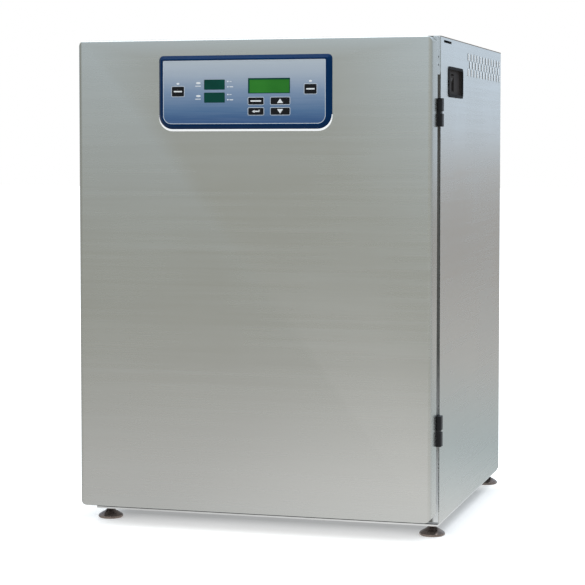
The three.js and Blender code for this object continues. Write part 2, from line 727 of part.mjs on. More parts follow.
// Outer door hinges, lift-off pattern: the cabinet half holds the pin, the door half drops over it.
const KNUCKLE = { inner: 330.3, front: 45.5, back: 65, neck: 2.2, step: 2.4 };

// The two halves meet at a neck that is a little thinner than the knuckles.
function knuckle(bottom, top, neckBottom, neckTop) {
  const outline = (inset) => rectangle(
    [KNUCKLE.inner, HINGE.outer - inset], [KNUCKLE.front, KNUCKLE.back], [0.5, 2.5, 2.5, 0.5], 3,
  );
  return join(alongZ(outline(0), bottom, top), alongZ(outline(KNUCKLE.step), neckBottom, neckTop));
}

HINGE.levels.forEach((bottom, i) => {
  const name = i ? "lower_hinge" : "upper_hinge";
  const top = bottom + HINGE.heights[i];
  const split = (bottom + top) / 2;
  const arm = box([HINGE.arm, KNUCKLE.inner + 1], [HINGE.y + 5, BODY_FRONT - GAP], [split + GAP, top]);
  const pin = rod(Z, [HINGE.x, HINGE.y], HINGE.pin, bottom + 6, split + 1, 16);
  const upper = knuckle(split + KNUCKLE.neck, top, split + GAP, top);
  add(cabinet, `${name}_cabinet_half`, join(upper, arm, pin), BLACK_PLASTIC);
  const plate = box(
    [HINGE.arm + 1, KNUCKLE.inner + 1],
    [DOOR_DEPTH + 0.5, DOOR_DEPTH + 3.5],
    [bottom, split],
  );
  const bore = rod(Z, [HINGE.x, HINGE.y], HINGE.pin + GAP, bottom + 5, split + 5, 16);
  const lower = knuckle(bottom, split - KNUCKLE.neck, bottom, split);
  add(outerDoor, `${name}_door_half`, cut(join(lower, plate), bore), BLACK_PLASTIC);
});

// The guard closes the top of the gap beside the door, where the cable loom crosses to the pod.
function loomGuard() {
  const { inner, outer, bottom, top, corner } = LOOM_GUARD;
  const outline = rectangle([DOOR_DEPTH + 1.5, BODY_FRONT - GAP], [bottom, top], [corner, corner, 1, 1], 4);
  return alongX(outline, inner, outer);
}

add(cabinet, "cable_loom_guard", loomGuard(), GREY_PLASTIC);

// Outer door: a stainless pan round its insulation, closed behind by the door liner.
function doorFace(inset, corner) {
  return rectangle(
    [-HALF_WIDTH + inset, HALF_WIDTH - inset],
    [DOOR_BOTTOM + inset, DOOR_TOP - inset],
    [corner, corner, corner, corner],
  );
}

// The pan's outside, or its inside at an inset: three outlines that each round one set of edges.
function doorSolid(inset) {
  const back = DOOR_DEPTH + (inset ? 10 : 0);
  const upright = DOOR_ROUNDING.upright - inset;
  const level = DOOR_ROUNDING.level - inset;
  const width = [-HALF_WIDTH + inset, HALF_WIDTH - inset];
  const height = [DOOR_BOTTOM + inset, DOOR_TOP - inset];
  const plan = rectangle(width, [inset, back], [upright, upright, 0, 0]);
  const profile = rectangle([inset, back], height, [level, 0, 0, level], 4);
  return alongZ(plan, ...height)
    .intersect(alongX(profile, ...width))
    .intersect(alongY(doorFace(inset, DOOR_ROUNDING.corner - inset), inset, back));
}

function podWindow(margin) {
  return [
    [POD.x - 150 - margin, POD.x + 150 + margin],
    [POD.z - 54 - margin, POD.z + 54 + margin],
  ];
}

function doorSkin() {
  const [width, height] = podWindow(0);
  return cut(doorSolid(0), doorSolid(SHEET), box(width, [-5, 5], height));
}

function doorInsulation() {
  const inset = SHEET + 0.8;
  const slab = box(
    [-HALF_WIDTH + 11, HALF_WIDTH - 11],
    [inset, DOOR_DEPTH - SHEET - 1],
    [DOOR_BOTTOM + inset, DOOR_TOP - inset],
  );
  const [width, height] = podWindow(2);
  return cut(slab, box(width, [-5, 22], height));
}

function doorLiner() {
  const inset = SHEET + GAP;
  return alongY(doorFace(inset, DOOR_ROUNDING.corner - inset), DOOR_DEPTH - SHEET, DOOR_DEPTH);
}

const GASKET = { halfWidth: 318, bottom: 44, top: 888, ring: 14 };

function doorGasket() {
  const { halfWidth, bottom, top, ring } = GASKET;
  const outline = rectangle([-halfWidth, halfWidth], [bottom, top], [10, 10, 10, 10], 3);
  outline.holes.push(rectangle(
    [-halfWidth + ring, halfWidth - ring], [bottom + ring, top - ring], [6, 6, 6, 6], 3,
  ));
  return alongY(outline, DOOR_DEPTH + GAP, BODY_FRONT - GAP);
}

add(outerDoor, "door_skin", doorSkin(), STAINLESS);
add(outerDoor, "door_insulation", doorInsulation(), WOOL);
add(outerDoor, "door_liner", doorLiner(), LINER_STEEL);
add(outerDoor, "door_gasket", doorGasket(), BLACK_SILICONE);

// Control pod: a bevelled bezel on the door, a printed overlay, two displays and six keys.
function podOutline(inset) {
  const lower = 26 - inset;
  const upper = Math.max(8 - inset, 2);
  return rectangle(
    [-POD.halfWidth + inset, POD.halfWidth - inset],
    [-POD.halfHeight + inset, POD.halfHeight - inset],
    [lower, lower, upper, upper],
    6,
  );
}

// The bevel is a hull between two outlines with the same number of points.
function bevelledBezel() {
  const back = podOutline(0).getPoints();
  const front = podOutline(POD.bevel).getPoints();
  const last = back.length - 1;
  const count = back[0].distanceTo(back[last]) < 1e-6 ? last : back.length;
  const cap = THREE.ShapeUtils.triangulateShape(back.slice(0, count), []);
  const positions = [];
  const at = (ring, i) => {
    const point = (ring ? front : back)[i % count];
    return [POD.x + point.x, ring ? -POD.proud : -GAP, POD.z + point.y];
  };
  const face = (...corners) => corners.forEach((corner) => positions.push(...corner));
  for (const [a, b, c] of cap) {
    face(at(1, a), at(1, b), at(1, c));
    face(at(0, a), at(0, c), at(0, b));
  }
  for (let i = 0; i < count; i++) {
    face(at(0, i), at(0, i + 1), at(1, i + 1));
    face(at(0, i), at(1, i + 1), at(1, i));
  }
  const geometry = new THREE.BufferGeometry();
  geometry.setAttribute("position", new THREE.Float32BufferAttribute(positions, 3));
  return solid(geometry);
}

function overlayOutline(inset) {
  const { halfWidth, halfHeight, corner } = OVERLAY;
  const radius = corner - inset;
  return rectangle(
    [POD.x - halfWidth + inset, POD.x + halfWidth - inset],
    [POD.z - halfHeight + inset, POD.z + halfHeight - inset],
    [radius, radius, 2, 2],
  );
}

function podBezel() {
  const recess = alongY(overlayOutline(-GAP), -POD.proud - 5, OVERLAY.back + GAP);
  const [width, height] = podWindow(-8);
  return cut(bevelledBezel(), recess, box(width, [-20, 20], height));
}

function around({ x, z, width, height }, margin) {
  return rectangle(
    [x - width / 2 - margin, x + width / 2 + margin],
    [z - height / 2 - margin, z + height / 2 + margin],
    [0.8, 0.8, 0.8, 0.8], 1,
  );
}

function podOverlay() {
  const outline = overlayOutline(0);
  for (const opening of [LCD, ...DIGITS, ...KEYS]) {
    outline.holes.push(around(opening, GAP));
  }
  return alongY(outline, OVERLAY.front, OVERLAY.back);
}

const BOARD_FRONT = 2;

function displayFilter() {
  const windows = DIGITS.map((digit) => alongY(around(digit, 0), OVERLAY.front + 0.2, -6));
  const plate = box([DIGITS[0].x - 24, DIGITS[0].x + 24], [-6.8, BOARD_FRONT - GAP], [776, 826]);
  return join(plate, ...windows);
}

function lcdModule() {
  const window = alongY(around(LCD, 0), OVERLAY.front + 0.2, -6);
  const module = box([LCD.x - 44, LCD.x + 44], [-6.8, BOARD_FRONT - GAP], [793.5, 829]);
  return join(window, module);
}

function controlBoard() {
  const board = box([POD.x - 146, POD.x + 146], [BOARD_FRONT, BOARD_FRONT + 1.6], [751, 847]);
  const connector = box([POD.x - 20, POD.x + 40], [BOARD_FRONT + 1, BOARD_FRONT + 14], [758, 772]);
  const relay = box([POD.x + 70, POD.x + 110], [BOARD_FRONT + 1, BOARD_FRONT + 12], [790, 820]);
  return join(board, connector, relay);
}

add(outerDoor, "pod_bezel", podBezel(), BLUE_PLASTIC);
add(outerDoor, "pod_overlay", podOverlay(), OVERLAY_FILM);
add(outerDoor, "control_board", controlBoard(), BOARD_GREEN);
add(outerDoor, "lcd_display", lcdModule(), GREEN_DISPLAY);
add(outerDoor, "numeric_display", displayFilter(), DARK_FILTER);

for (const key of KEYS) {
  const cap = alongY(around(key, 0), KEY_FRONT, -6.6);
  const plunger = rod(Y, [key.x, key.z], 3, -7, 0.6, 12);
  add(outerDoor, key.name, join(cap, plunger), BLACK_PLASTIC);
}

// Inner door: a tempered pane held by a bar that turns on the post's two pins.
function glassPane() {
  const outline = rectangle([GLASS.left, GLASS.right], [GLASS.bottom, GLASS.top], [8, 8, 8, 8], 3);
  return alongY(outline, GLASS.front, GLASS.back);
}

function hingeBar() {
  const { x, y, boss, pin, bottom, top } = INNER_HINGE;
  const bar = box([250, x + 1], [y - 6, y - GAP], [bottom + 20, top - 20]);
  const ends = [[bottom - 8, bottom + 24], [top - 24, top + 8]];
  const bosses = ends.map(([from, to]) => rod(Z, [x, y], boss, from, to, 20));
  const bores = ends.map(([from, to]) => rod(Z, [x, y], pin + GAP, from - 2, to + 2, 16));
  return cut(join(bar, ...bosses), ...bores);
}

function hingePost() {
  const { x, y, boss, pin, bottom, top } = INNER_HINGE;
  const strip = box([x - boss, x + boss], [BODY_FRONT - 3, BODY_FRONT - GAP], [bottom - 14, top + 14]);
  const ends = [
    { ear: [bottom - 14, bottom - 9], stud: [bottom - 10, bottom + 14] },
    { ear: [top + 9, top + 14], stud: [top - 14, top + 10] },
  ];
  const pieces = ends.flatMap(({ ear, stud }) => [
    box([x - boss, x + boss], [y - boss, BODY_FRONT - 2], ear),
    rod(Z, [x, y], pin, stud[0], stud[1], 16),
  ]);
  return join(strip, ...pieces);
}

function mouthOutline(margin, corner) {
  return rectangle(
    [-CHAMBER.halfWidth - margin, CHAMBER.halfWidth + margin],
    [CHAMBER.bottom - margin, CHAMBER.top + margin],
    [corner, corner, corner, corner],
    4,
  );
}

function innerGasket() {
  const outline = mouthOutline(11, MOUTH_CORNER + 4);
  outline.holes.push(mouthOutline(1, MOUTH_CORNER));
  return alongY(outline, GLASS.back + GAP, BODY_FRONT - GAP);
}

function pullKnob() {
  const { x, z, radius, front } = KNOB;
  const seat = GLASS.front - GAP;
  return turned(Y, [x, z], [
    [0, front], [radius - 2, front], [radius, front + 1.8], [radius, front + 4.8],
    [radius - 6, front + 7.3], [radius - 5, seat], [0, seat],
  ]);
}

add(cabinet, "inner_door_gasket", innerGasket(), WHITE_SILICONE);
add(cabinet, "inner_door_hinge_post", hingePost(), STAINLESS);
add(innerDoor, "inner_door_glass", glassPane(), CLEAR_GLASS);
add(innerDoor, "inner_door_hinge_bar", hingeBar(), STAINLESS);
add(innerDoor, "inner_door_knob", pullKnob(), BLACK_PLASTIC);

// The hinges reach furthest right and the foot pads furthest left, the keys and the gas barb furthest
// forward and back.
const right = HINGE.outer;
const left = -FOOT.x - FOOT.pad;
incubator.position.set(-(left + right) / 2, -(KEY_FRONT + BARB.back) / 2, 0);

export default incubator;
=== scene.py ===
"""Looks of the laboratory incubator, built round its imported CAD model. Metres, +Z up, doors face -Y."""
import json
import math

import bmesh
import bpy
from mathutils import Matrix, Vector


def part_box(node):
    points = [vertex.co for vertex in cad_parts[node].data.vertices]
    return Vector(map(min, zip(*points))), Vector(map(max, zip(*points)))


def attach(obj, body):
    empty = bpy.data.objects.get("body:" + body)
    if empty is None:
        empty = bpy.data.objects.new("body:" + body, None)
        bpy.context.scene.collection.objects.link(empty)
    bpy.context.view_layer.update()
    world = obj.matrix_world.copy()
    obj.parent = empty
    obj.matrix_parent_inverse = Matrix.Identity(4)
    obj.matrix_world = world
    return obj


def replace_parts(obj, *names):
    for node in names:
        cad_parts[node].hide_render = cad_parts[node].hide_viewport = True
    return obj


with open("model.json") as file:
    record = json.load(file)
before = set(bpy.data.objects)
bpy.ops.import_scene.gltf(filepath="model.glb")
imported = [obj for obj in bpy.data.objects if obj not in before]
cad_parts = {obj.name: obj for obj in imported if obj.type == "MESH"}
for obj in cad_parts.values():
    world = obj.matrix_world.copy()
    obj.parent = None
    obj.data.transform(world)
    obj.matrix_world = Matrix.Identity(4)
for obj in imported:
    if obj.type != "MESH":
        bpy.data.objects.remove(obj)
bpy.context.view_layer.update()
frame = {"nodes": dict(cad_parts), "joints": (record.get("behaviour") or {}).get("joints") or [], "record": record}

NODES = frame["nodes"]
JOINTS = {joint["name"]: joint for joint in frame["joints"]}
MM = 0.001


# ---------------------------------------------------------------- node trees
class Tree:
    """The node tree of a new material, or of a world, with short calls for the nodes that they share."""

    def __init__(self, name, world=None):
        self.material = world or bpy.data.materials.new(name)
        self.material.use_nodes = True
        self.tree = self.material.node_tree
        self.shader = self.tree.nodes.get("Principled BSDF")

    def node(self, kind, **values):
        node = self.tree.nodes.new(kind)
        for key, value in values.items():
            setattr(node, key, value)
        return node

    def link(self, source, target):
        self.tree.links.new(source, target)

    def feed(self, socket, value):
        if isinstance(value, bpy.types.NodeSocket):
            self.link(value, socket)
        else:
            socket.default_value = value

    def place(self, scale):
        """The row-frame position of the surface, stretched by one scale or by a scale along each axis."""
        coordinates = self.node("ShaderNodeTexCoord")
        mapping = self.node("ShaderNodeMapping")
        mapping.inputs["Scale"].default_value = scale if isinstance(scale, (tuple, list)) else (scale,) * 3
        self.link(coordinates.outputs["Object"], mapping.inputs["Vector"])
        return mapping.outputs["Vector"]

    def noise(self, scale, detail=3.0, roughness=0.55, seed=0.0):
        texture = self.node("ShaderNodeTexNoise", noise_dimensions="4D")
        self.link(self.place(scale), texture.inputs["Vector"])
        texture.inputs["W"].default_value = seed
        texture.inputs["Scale"].default_value = 1.0
        texture.inputs["Detail"].default_value = detail
        texture.inputs["Roughness"].default_value = roughness
        return texture.outputs["Fac"]

    def math(self, operation, first, second=0.0):
        node = self.node("ShaderNodeMath", operation=operation)
        self.feed(node.inputs[0], first)
        self.feed(node.inputs[1], second)
        return node.outputs[0]

    def range(self, value, low, high, to_low, to_high):
        node = self.node("ShaderNodeMapRange", clamp=True)
        for socket, number in zip(node.inputs, (value, low, high, to_low, to_high)):
            self.feed(socket, number)
        return node.outputs[0]

    def mix(self, factor, first, second):
        node = self.node("ShaderNodeMix", data_type="RGBA")
        self.feed(node.inputs["Factor"], factor)
        self.feed(node.inputs[6], first)
        self.feed(node.inputs[7], second)
        return node.outputs[2]

    def axis(self, name):
        """One coordinate of the surface in the row frame."""
        split = self.node("ShaderNodeSeparateXYZ")
        self.link(self.place(1), split.inputs[0])
        return split.outputs[name]

    def ramp(self, value, stops):
        node = self.node("ShaderNodeValToRGB")
        self.feed(node.inputs[0], value)
        elements = node.color_ramp.elements
        while len(elements) < len(stops):
            elements.new(0.5)
        for element, (position, shade) in zip(elements, stops):
            element.position = position
            element.color = color(*shade)
        return node.outputs[0]

    def edges(self, distance):
        """How convex the surface is within a distance: 0 on flats, towards 1 on outer edges."""
        bevel = self.node("ShaderNodeBevel", samples=4)
        bevel.inputs["Radius"].default_value = distance
        geometry = self.node("ShaderNodeNewGeometry")
        dot = self.node("ShaderNodeVectorMath", operation="DOT_PRODUCT")
        self.link(bevel.outputs[0], dot.inputs[0])
        self.link(geometry.outputs["Normal"], dot.inputs[1])
        return self.range(dot.outputs["Value"], 0.75, 0.99, 1.0, 0.0)

    def tone(self, value, low, high, first, second):
        """A colour that goes from the first to the second as the value rises from low to high."""
        return self.mix(self.range(value, low, high, 0.0, 1.0), color(*first), color(*second))

    def set(self, **values):
        for name, value in values.items():
            self.feed(self.shader.inputs[name.replace("_", " ")], value)

    def rough(self, value, smooth, coarse, low=0.3, high=0.7):
        self.set(Roughness=self.range(value, low, high, smooth, coarse))

    def relief(self, height, distance, strength):
        node = self.node("ShaderNodeBump")
        node.inputs["Strength"].default_value = strength
        node.inputs["Distance"].default_value = distance
        self.feed(node.inputs["Height"], height)
        self.set(Normal=node.outputs[0])

    def choose(self, seen, mirrored, output):
        """The camera sees one shader, and every other ray meets the other."""
        path = self.node("ShaderNodeLightPath")
        choice = self.node("ShaderNodeMixShader")
        self.link(path.outputs["Is Camera Ray"], choice.inputs[0])
        self.link(mirrored, choice.inputs[1])
        self.link(seen, choice.inputs[2])
        self.link(choice.outputs[0], self.tree.nodes[output].inputs[0])


def color(red, green, blue):
    return (red, green, blue, 1.0)


def dimmed(base, share):
    return [min(channel * share, 1.0) for channel in base]


# ---------------------------------------------------------------- materials
FOLD_SHADE_TINT = (0.70, 0.68, 0.63)
LONG_WAY, FINE, MIDDLE, WIDE = 2.2, 900.0, 120.0, 14.0  # noise scales along and across a grain


def brushed_steel(name, base, along, roughness=0.26, contrast=0.22, relief=0.12, fold=None):
    """Stainless sheet with its grain along one axis: fine lines, wider bands and faint wipe marks.
    Beyond the fold, a distance from the middle, where the sheet turns back, a painted shade makes it darker and
    warmer, most towards the top."""
    tree = Tree(name)

    def grain(across, detail, seed):
        return tree.noise([LONG_WAY if axis == along else across for axis in "xyz"], detail, 0.6, seed)

    lines = grain(FINE, 2.0, 1.0)
    bands = grain(MIDDLE, 3.0, 5.0)
    broad = grain(WIDE, 2.0, 9.0)
    wipes = tree.noise((3.1, 3.1, 2.3), 4.0, 0.6, 13.0)
    shade = tree.math("ADD", tree.math("MULTIPLY", lines, 0.30), tree.math("MULTIPLY", bands, 0.34))
    shade = tree.math("ADD", shade, tree.math("MULTIPLY", broad, 0.36))
    tone = tree.tone(shade, 0.36, 0.64, dimmed(base, 1 - 0.10 * contrast), dimmed(base, 1 + 0.10 * contrast))
    # painted shade: the turned-back sides are tinted darker and warmer, a little below 0.4 m and fully above 0.8 m
    if fold:
        beyond = tree.range(tree.math("ABSOLUTE", tree.axis("X")), fold, fold + 4 * MM, 0.0, 1.0)
        side_shade = tree.math("MULTIPLY", beyond, tree.range(tree.axis("Z"), 0.40, 0.80, 0.10, 1.0))
        tone = tree.mix(side_shade, tone, color(*[channel * tint for channel, tint in zip(base, FOLD_SHADE_TINT)]))
    tree.set(Base_Color=tone)
    rough = tree.math("ADD", tree.range(bands, 0.3, 0.7, roughness - 0.03, roughness + 0.03),
                      tree.range(wipes, 0.35, 0.7, -0.02, 0.04))
    tree.set(Roughness=rough, Metallic=1.0)
    tree.relief(shade, 0.00004, relief)
    return tree.material


def satin_sheet(name, base, roughness):
    """Cold-rolled sheet without a grain: soft clouds and a trace of handling."""
    tree = Tree(name)
    cloud = 0.05
    clouds = tree.noise(7, 4.0, 0.6, 2.0)
    specks = tree.noise(420, 2.0, 0.5, 3.0)
    tree.set(Base_Color=tree.tone(clouds, 0.35, 0.65, dimmed(base, 1 - cloud), dimmed(base, 1 + cloud)))
    tree.set(Metallic=1.0)
    tree.rough(clouds, roughness - 0.04, roughness + 0.06)
    tree.relief(specks, 0.00004, 0.25)
    return tree.material


def galvanised_sheet(name):
    """Zinc-coated steel with its crystal spangle."""
    tree = Tree(name)
    cells = tree.node("ShaderNodeTexVoronoi", feature="F1")
    tree.link(tree.place(110), cells.inputs["Vector"])
    cells.inputs["Scale"].default_value = 1.0
    grey = tree.node("ShaderNodeRGBToBW")
    tree.link(cells.outputs["Color"], grey.inputs[0])
    tree.set(Base_Color=tree.mix(grey.outputs[0], color(0.36, 0.38, 0.40), color(0.56, 0.58, 0.60)))
    tree.set(Metallic=1.0)
    tree.rough(grey.outputs[0], 0.38, 0.58, 0.0, 1.0)
    return tree.material


PLASTIC_GRAIN = 0.00008


def moulded_plastic(name, base, roughness, wear=0.25, gloss=0.5):
    """Injection-moulded plastic: fine spark-eroded texture, slightly polished on its edges."""
    tree = Tree(name)
    texture = tree.noise(600, 2.0, 0.6, 4.0)
    patches = tree.noise(22, 3.0, 0.6, 8.0)
    worn = tree.math("MULTIPLY", tree.edges(0.0009), tree.range(patches, 0.4, 0.6, 0.2, 1.0))
    lighter = [channel + (0.35 - channel) * wear for channel in base]
    tone = tree.tone(patches, 0.3, 0.7, dimmed(base, 0.88), dimmed(base, 1.10))
    tree.set(Base_Color=tree.mix(tree.math("MULTIPLY", worn, 0.6), tone, color(*lighter)))
    grainy = tree.range(texture, 0.3, 0.7, roughness - 0.05, roughness + 0.07)
    tree.set(Roughness=tree.math("SUBTRACT", grainy, tree.math("MULTIPLY", worn, 0.10)))
    tree.set(Specular_IOR_Level=gloss)
    tree.relief(texture, PLASTIC_GRAIN, 0.4)
    return tree.material


def thermal_break(name, dark, light, low, high, edge):
    """The grey frame round the chamber's mouth. Its outer edge on the hinge side is painted pale towards its foot:
    painted light in the door gap, with a ragged boundary."""
    tree = Tree(name)
    texture = tree.noise(500, 2.0, 0.6, 4.0)
    blotches = tree.noise((9, 9, 5), 4.0, 0.6, 8.0)
    # painted light: the outer edge is mixed fully towards the light colour below the low height, and not at all
    # above the high one
    height = tree.math("ADD", tree.axis("Z"), tree.range(blotches, 0.3, 0.7, -0.02, 0.02))
    outer = tree.range(tree.axis("X"), edge - 12 * MM, edge - 8 * MM, 0.0, 1.0)
    pale = tree.math("MULTIPLY", tree.range(height, low, high, 1.0, 0.0), outer)
    tree.set(Base_Color=tree.mix(pale, color(*dark), color(*light)))
    tree.rough(texture, 0.55, 0.68)
    tree.relief(texture, PLASTIC_GRAIN, 0.4)
    return tree.material


def switch_plastic(name, flange, inside, face):
    """Black plastic of the power switch: its recess, and the rocker in it, are painted lighter and blotchy, a
    painted light in the shaded recess, while the flange on the panel keeps the dark colour.
    """
    tree = Tree(name)
    texture = tree.noise(600, 2.0, 0.6, 4.0)
    blotches = tree.noise(90, 4.0, 0.6, 8.0)
    # painted light: the recess colour is a lighter copy of the black plastic, with random blotches
    blotchy = tree.tone(blotches, 0.35, 0.65, inside, dimmed(inside, 0.8))
    outer = tree.range(tree.axis("X"), face - 0.8 * MM, face - 0.3 * MM, 0.0, 1.0)
    tree.set(Base_Color=tree.mix(outer, blotchy, color(*flange)), Specular_IOR_Level=0.04)
    tree.rough(texture, 0.52, 0.66)
    tree.relief(texture, PLASTIC_GRAIN, 0.4)
    return tree.material


def silicone(name, base, roughness=0.62):
    """Extruded rubber: fine draw lines and a powdery bloom."""
    tree = Tree(name)
    draw = tree.noise((60, 900, 60), 2.0, 0.5, 3.0)
    bloom = tree.noise(14, 5.0, 0.65, 6.0)
    blotchy = [channel * 0.75 + 0.03 for channel in base]
    tree.set(Base_Color=tree.tone(bloom, 0.4, 0.7, base, blotchy))
    tree.rough(bloom, roughness - 0.06, roughness + 0.12)
    tree.relief(draw, 0.0001, 0.3)
    return tree.material


def lacquered_blue(name):
    """The pod's moulded frame: deep navy with a clear gloss coat, and a painted highlight of lighter blue on its
    convex edges.
    """
    tree = Tree(name)
    drift = tree.noise(9, 3.0, 0.55, 2.0)
    peel = tree.noise(240, 2.0, 0.5, 5.0)
    edge = tree.edges(0.0012)
    tone = tree.tone(drift, 0.3, 0.7, (0.0015, 0.020, 0.075), (0.003, 0.028, 0.098))
    # painted highlight: convex edges go up to a quarter of the way towards a lighter blue
    tree.set(Base_Color=tree.mix(tree.math("MULTIPLY", edge, 0.25), tone, color(0.02, 0.07, 0.18)))
    tree.rough(drift, 0.34, 0.42)
    tree.set(Specular_IOR_Level=0.07, Specular_Tint=color(0.35, 0.60, 1.0))
    tree.relief(peel, 0.00005, 0.25)
    return tree.material


OVERLAY_FADE = (
    (0.00, (0.028, 0.085, 0.225)),
    (0.20, (0.078, 0.165, 0.315)),
    (0.50, (0.215, 0.300, 0.440)),
    (0.78, (0.405, 0.465, 0.550)),
    (1.00, (0.495, 0.545, 0.600)),
)


def printed_overlay(name, low, high):
    """Satin polyester film, printed with a silver to steel-blue fade and a fine horizontal texture."""
    tree = Tree(name)
    fade = tree.range(tree.axis("Z"), low, high, 0.0, 1.0)
    print_color = tree.ramp(fade, OVERLAY_FADE)
    dots = tree.noise((700, 700, 2400), 2.0, 0.5, 7.0)
    streaks = tree.noise((12, 12, 380), 3.0, 0.6, 11.0)
    tone = tree.mix(tree.math("MULTIPLY", tree.range(streaks, 0.35, 0.65, 0.0, 1.0), 0.05),
                    print_color, color(0.62, 0.68, 0.78))
    tree.set(Base_Color=tone, Specular_IOR_Level=0.25)
    tree.rough(dots, 0.42, 0.52)
    tree.relief(dots, 0.00003, 0.3)
    return tree.material


def backlit_glass(name, dark, light, pitch, emission):
    """A display behind its window: a faint grid of cells under a gloss face."""
    tree = Tree(name)
    glow = tree.noise((14, 14, 18), 2.0, 0.5, 3.0)
    tone = tree.tone(glow, 0.35, 0.65, dark, light)
    rows = tree.node("ShaderNodeTexWave", bands_direction="Z")
    columns = tree.node("ShaderNodeTexWave", bands_direction="X")
    for wave in (rows, columns):
        tree.link(tree.place(1), wave.inputs["Vector"])
        wave.inputs["Scale"].default_value = 0.314 / pitch
    grid = tree.math("MULTIPLY", rows.outputs["Fac"], columns.outputs["Fac"])
    shaded = tree.mix(tree.range(grid, 0.0, 0.25, 0.22, 0.0), tone, color(*dimmed(dark, 0.55)))
    tree.set(Base_Color=shaded, Emission_Color=shaded, Emission_Strength=emission)
    tree.rough(glow, 0.10, 0.16)
    tree.set(Specular_IOR_Level=0.12, Coat_Weight=0.06, Coat_Roughness=0.03)
    return tree.material


def clear_glass(name):
    """Toughened soda-lime pane with the faintest handling film."""
    tree = Tree(name)
    film = tree.noise(5, 4.0, 0.6, 2.0)
    tree.set(Base_Color=tree.mix(film, color(0.90, 0.965, 0.94), color(0.93, 0.98, 0.96)))
    tree.rough(film, 0.0, 0.05, 0.45, 0.75)
    tree.set(Transmission_Weight=1.0, IOR=1.5)
    return tree.material


def pleated_paper(name):
    """Filter paper with its fibres along the pleats, and stained in patches."""
    tree = Tree(name)
    fibres = tree.noise((900, 900, 180), 3.0, 0.7, 2.0)
    stains = tree.range(tree.noise(11, 4.0, 0.6, 5.0), 0.4, 0.7, 0.0, 0.7)
    tree.set(Base_Color=tree.mix(stains, color(0.84, 0.83, 0.79), color(0.70, 0.69, 0.64)))
    tree.rough(fibres, 0.78, 0.95)
    tree.relief(fibres, 0.0003, 0.5)
    return tree.material


def mineral_wool(name):
    """Clumped yellow fibres."""
    tree = Tree(name)
    fibres = tree.noise((160, 160, 900), 4.0, 0.7, 2.0)
    clumps = tree.noise(30, 4.0, 0.6, 5.0)
    tree.set(Base_Color=tree.mix(clumps, color(0.60, 0.52, 0.28), color(0.82, 0.76, 0.52)))
    tree.rough(fibres, 0.85, 1.0)
    tree.relief(fibres, 0.0015, 0.6)
    return tree.material


def circuit_board(name):
    """Green solder resist over a web of copper traces."""
    tree = Tree(name)
    traces = tree.node("ShaderNodeTexVoronoi", feature="DISTANCE_TO_EDGE")
    tree.link(tree.place(160), traces.inputs["Vector"])
    line = tree.range(traces.outputs["Distance"], 0.03, 0.06, 1.0, 0.0)
    tree.set(Base_Color=tree.mix(line, color(0.012, 0.10, 0.04), color(0.05, 0.26, 0.11)))
    tree.rough(line, 0.35, 0.5, 0.0, 1.0)
    return tree.material


def foot_bronze(name):
    """Dark bronzed steel foot; its rim is pale metal, partly wear from rubbing to bare metal and partly a painted
    highlight.
    """
    tree = Tree(name)
    patina = tree.noise(90, 4.0, 0.65, 3.0)
    # partly wear, partly painted highlight: the convex rim is mixed towards pale metal
    rubbed_and_highlight = tree.math("MULTIPLY", tree.edges(0.0015), tree.range(patina, 0.35, 0.6, 0.3, 1.0))
    tone = tree.tone(patina, 0.35, 0.65, (0.150, 0.122, 0.110), (0.270, 0.212, 0.186))
    tree.set(Base_Color=tree.mix(rubbed_and_highlight, tone, color(0.62, 0.54, 0.48)), Metallic=0.9)
    tree.rough(patina, 0.20, 0.36)
    tree.relief(patina, 0.0002, 0.3)
    return tree.material


def machined_brass(name):
    """Turned brass, tarnished in patches."""
    tree = Tree(name)
    rings = tree.noise((500, 2600, 500), 2.0, 0.5, 3.0)
    tarnish = tree.noise(60, 4.0, 0.6, 6.0)
    tree.set(Base_Color=tree.tone(tarnish, 0.4, 0.7, (0.68, 0.50, 0.20), (0.42, 0.28, 0.11)), Metallic=1.0)
    tree.rough(rings, 0.22, 0.38)
    return tree.material


def printed_mark(name, base):
    """Screen-printed ink: matt, very slightly uneven."""
    tree = Tree(name)
    ink = tree.noise(900, 2.0, 0.5, 3.0)
    tree.set(Base_Color=tree.mix(ink, color(*dimmed(base, 0.88)), color(*base)))
    tree.rough(ink, 0.45, 0.6)
    return tree.material


def bright_trim(name, glow):
    """A pale polished edge with a little glow of its own: a painted highlight, standing in for an edge catching
    the light.
    """
    tree = Tree(name)
    drift = tree.noise(40, 3.0, 0.5, 3.0)
    tree.set(Base_Color=tree.mix(drift, color(0.86, 0.88, 0.90), color(0.97, 0.98, 0.99)), Coat_Weight=0.3)
    tree.rough(drift, 0.22, 0.32)
    # painted highlight: the trim glows though it is no lamp
    tree.set(Emission_Color=color(0.96, 0.98, 1.0), Emission_Strength=glow)
    return tree.material


STEEL_TONE = (0.60, 0.615, 0.60)
OVERLAY_LOW, OVERLAY_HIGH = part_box("pod_overlay")

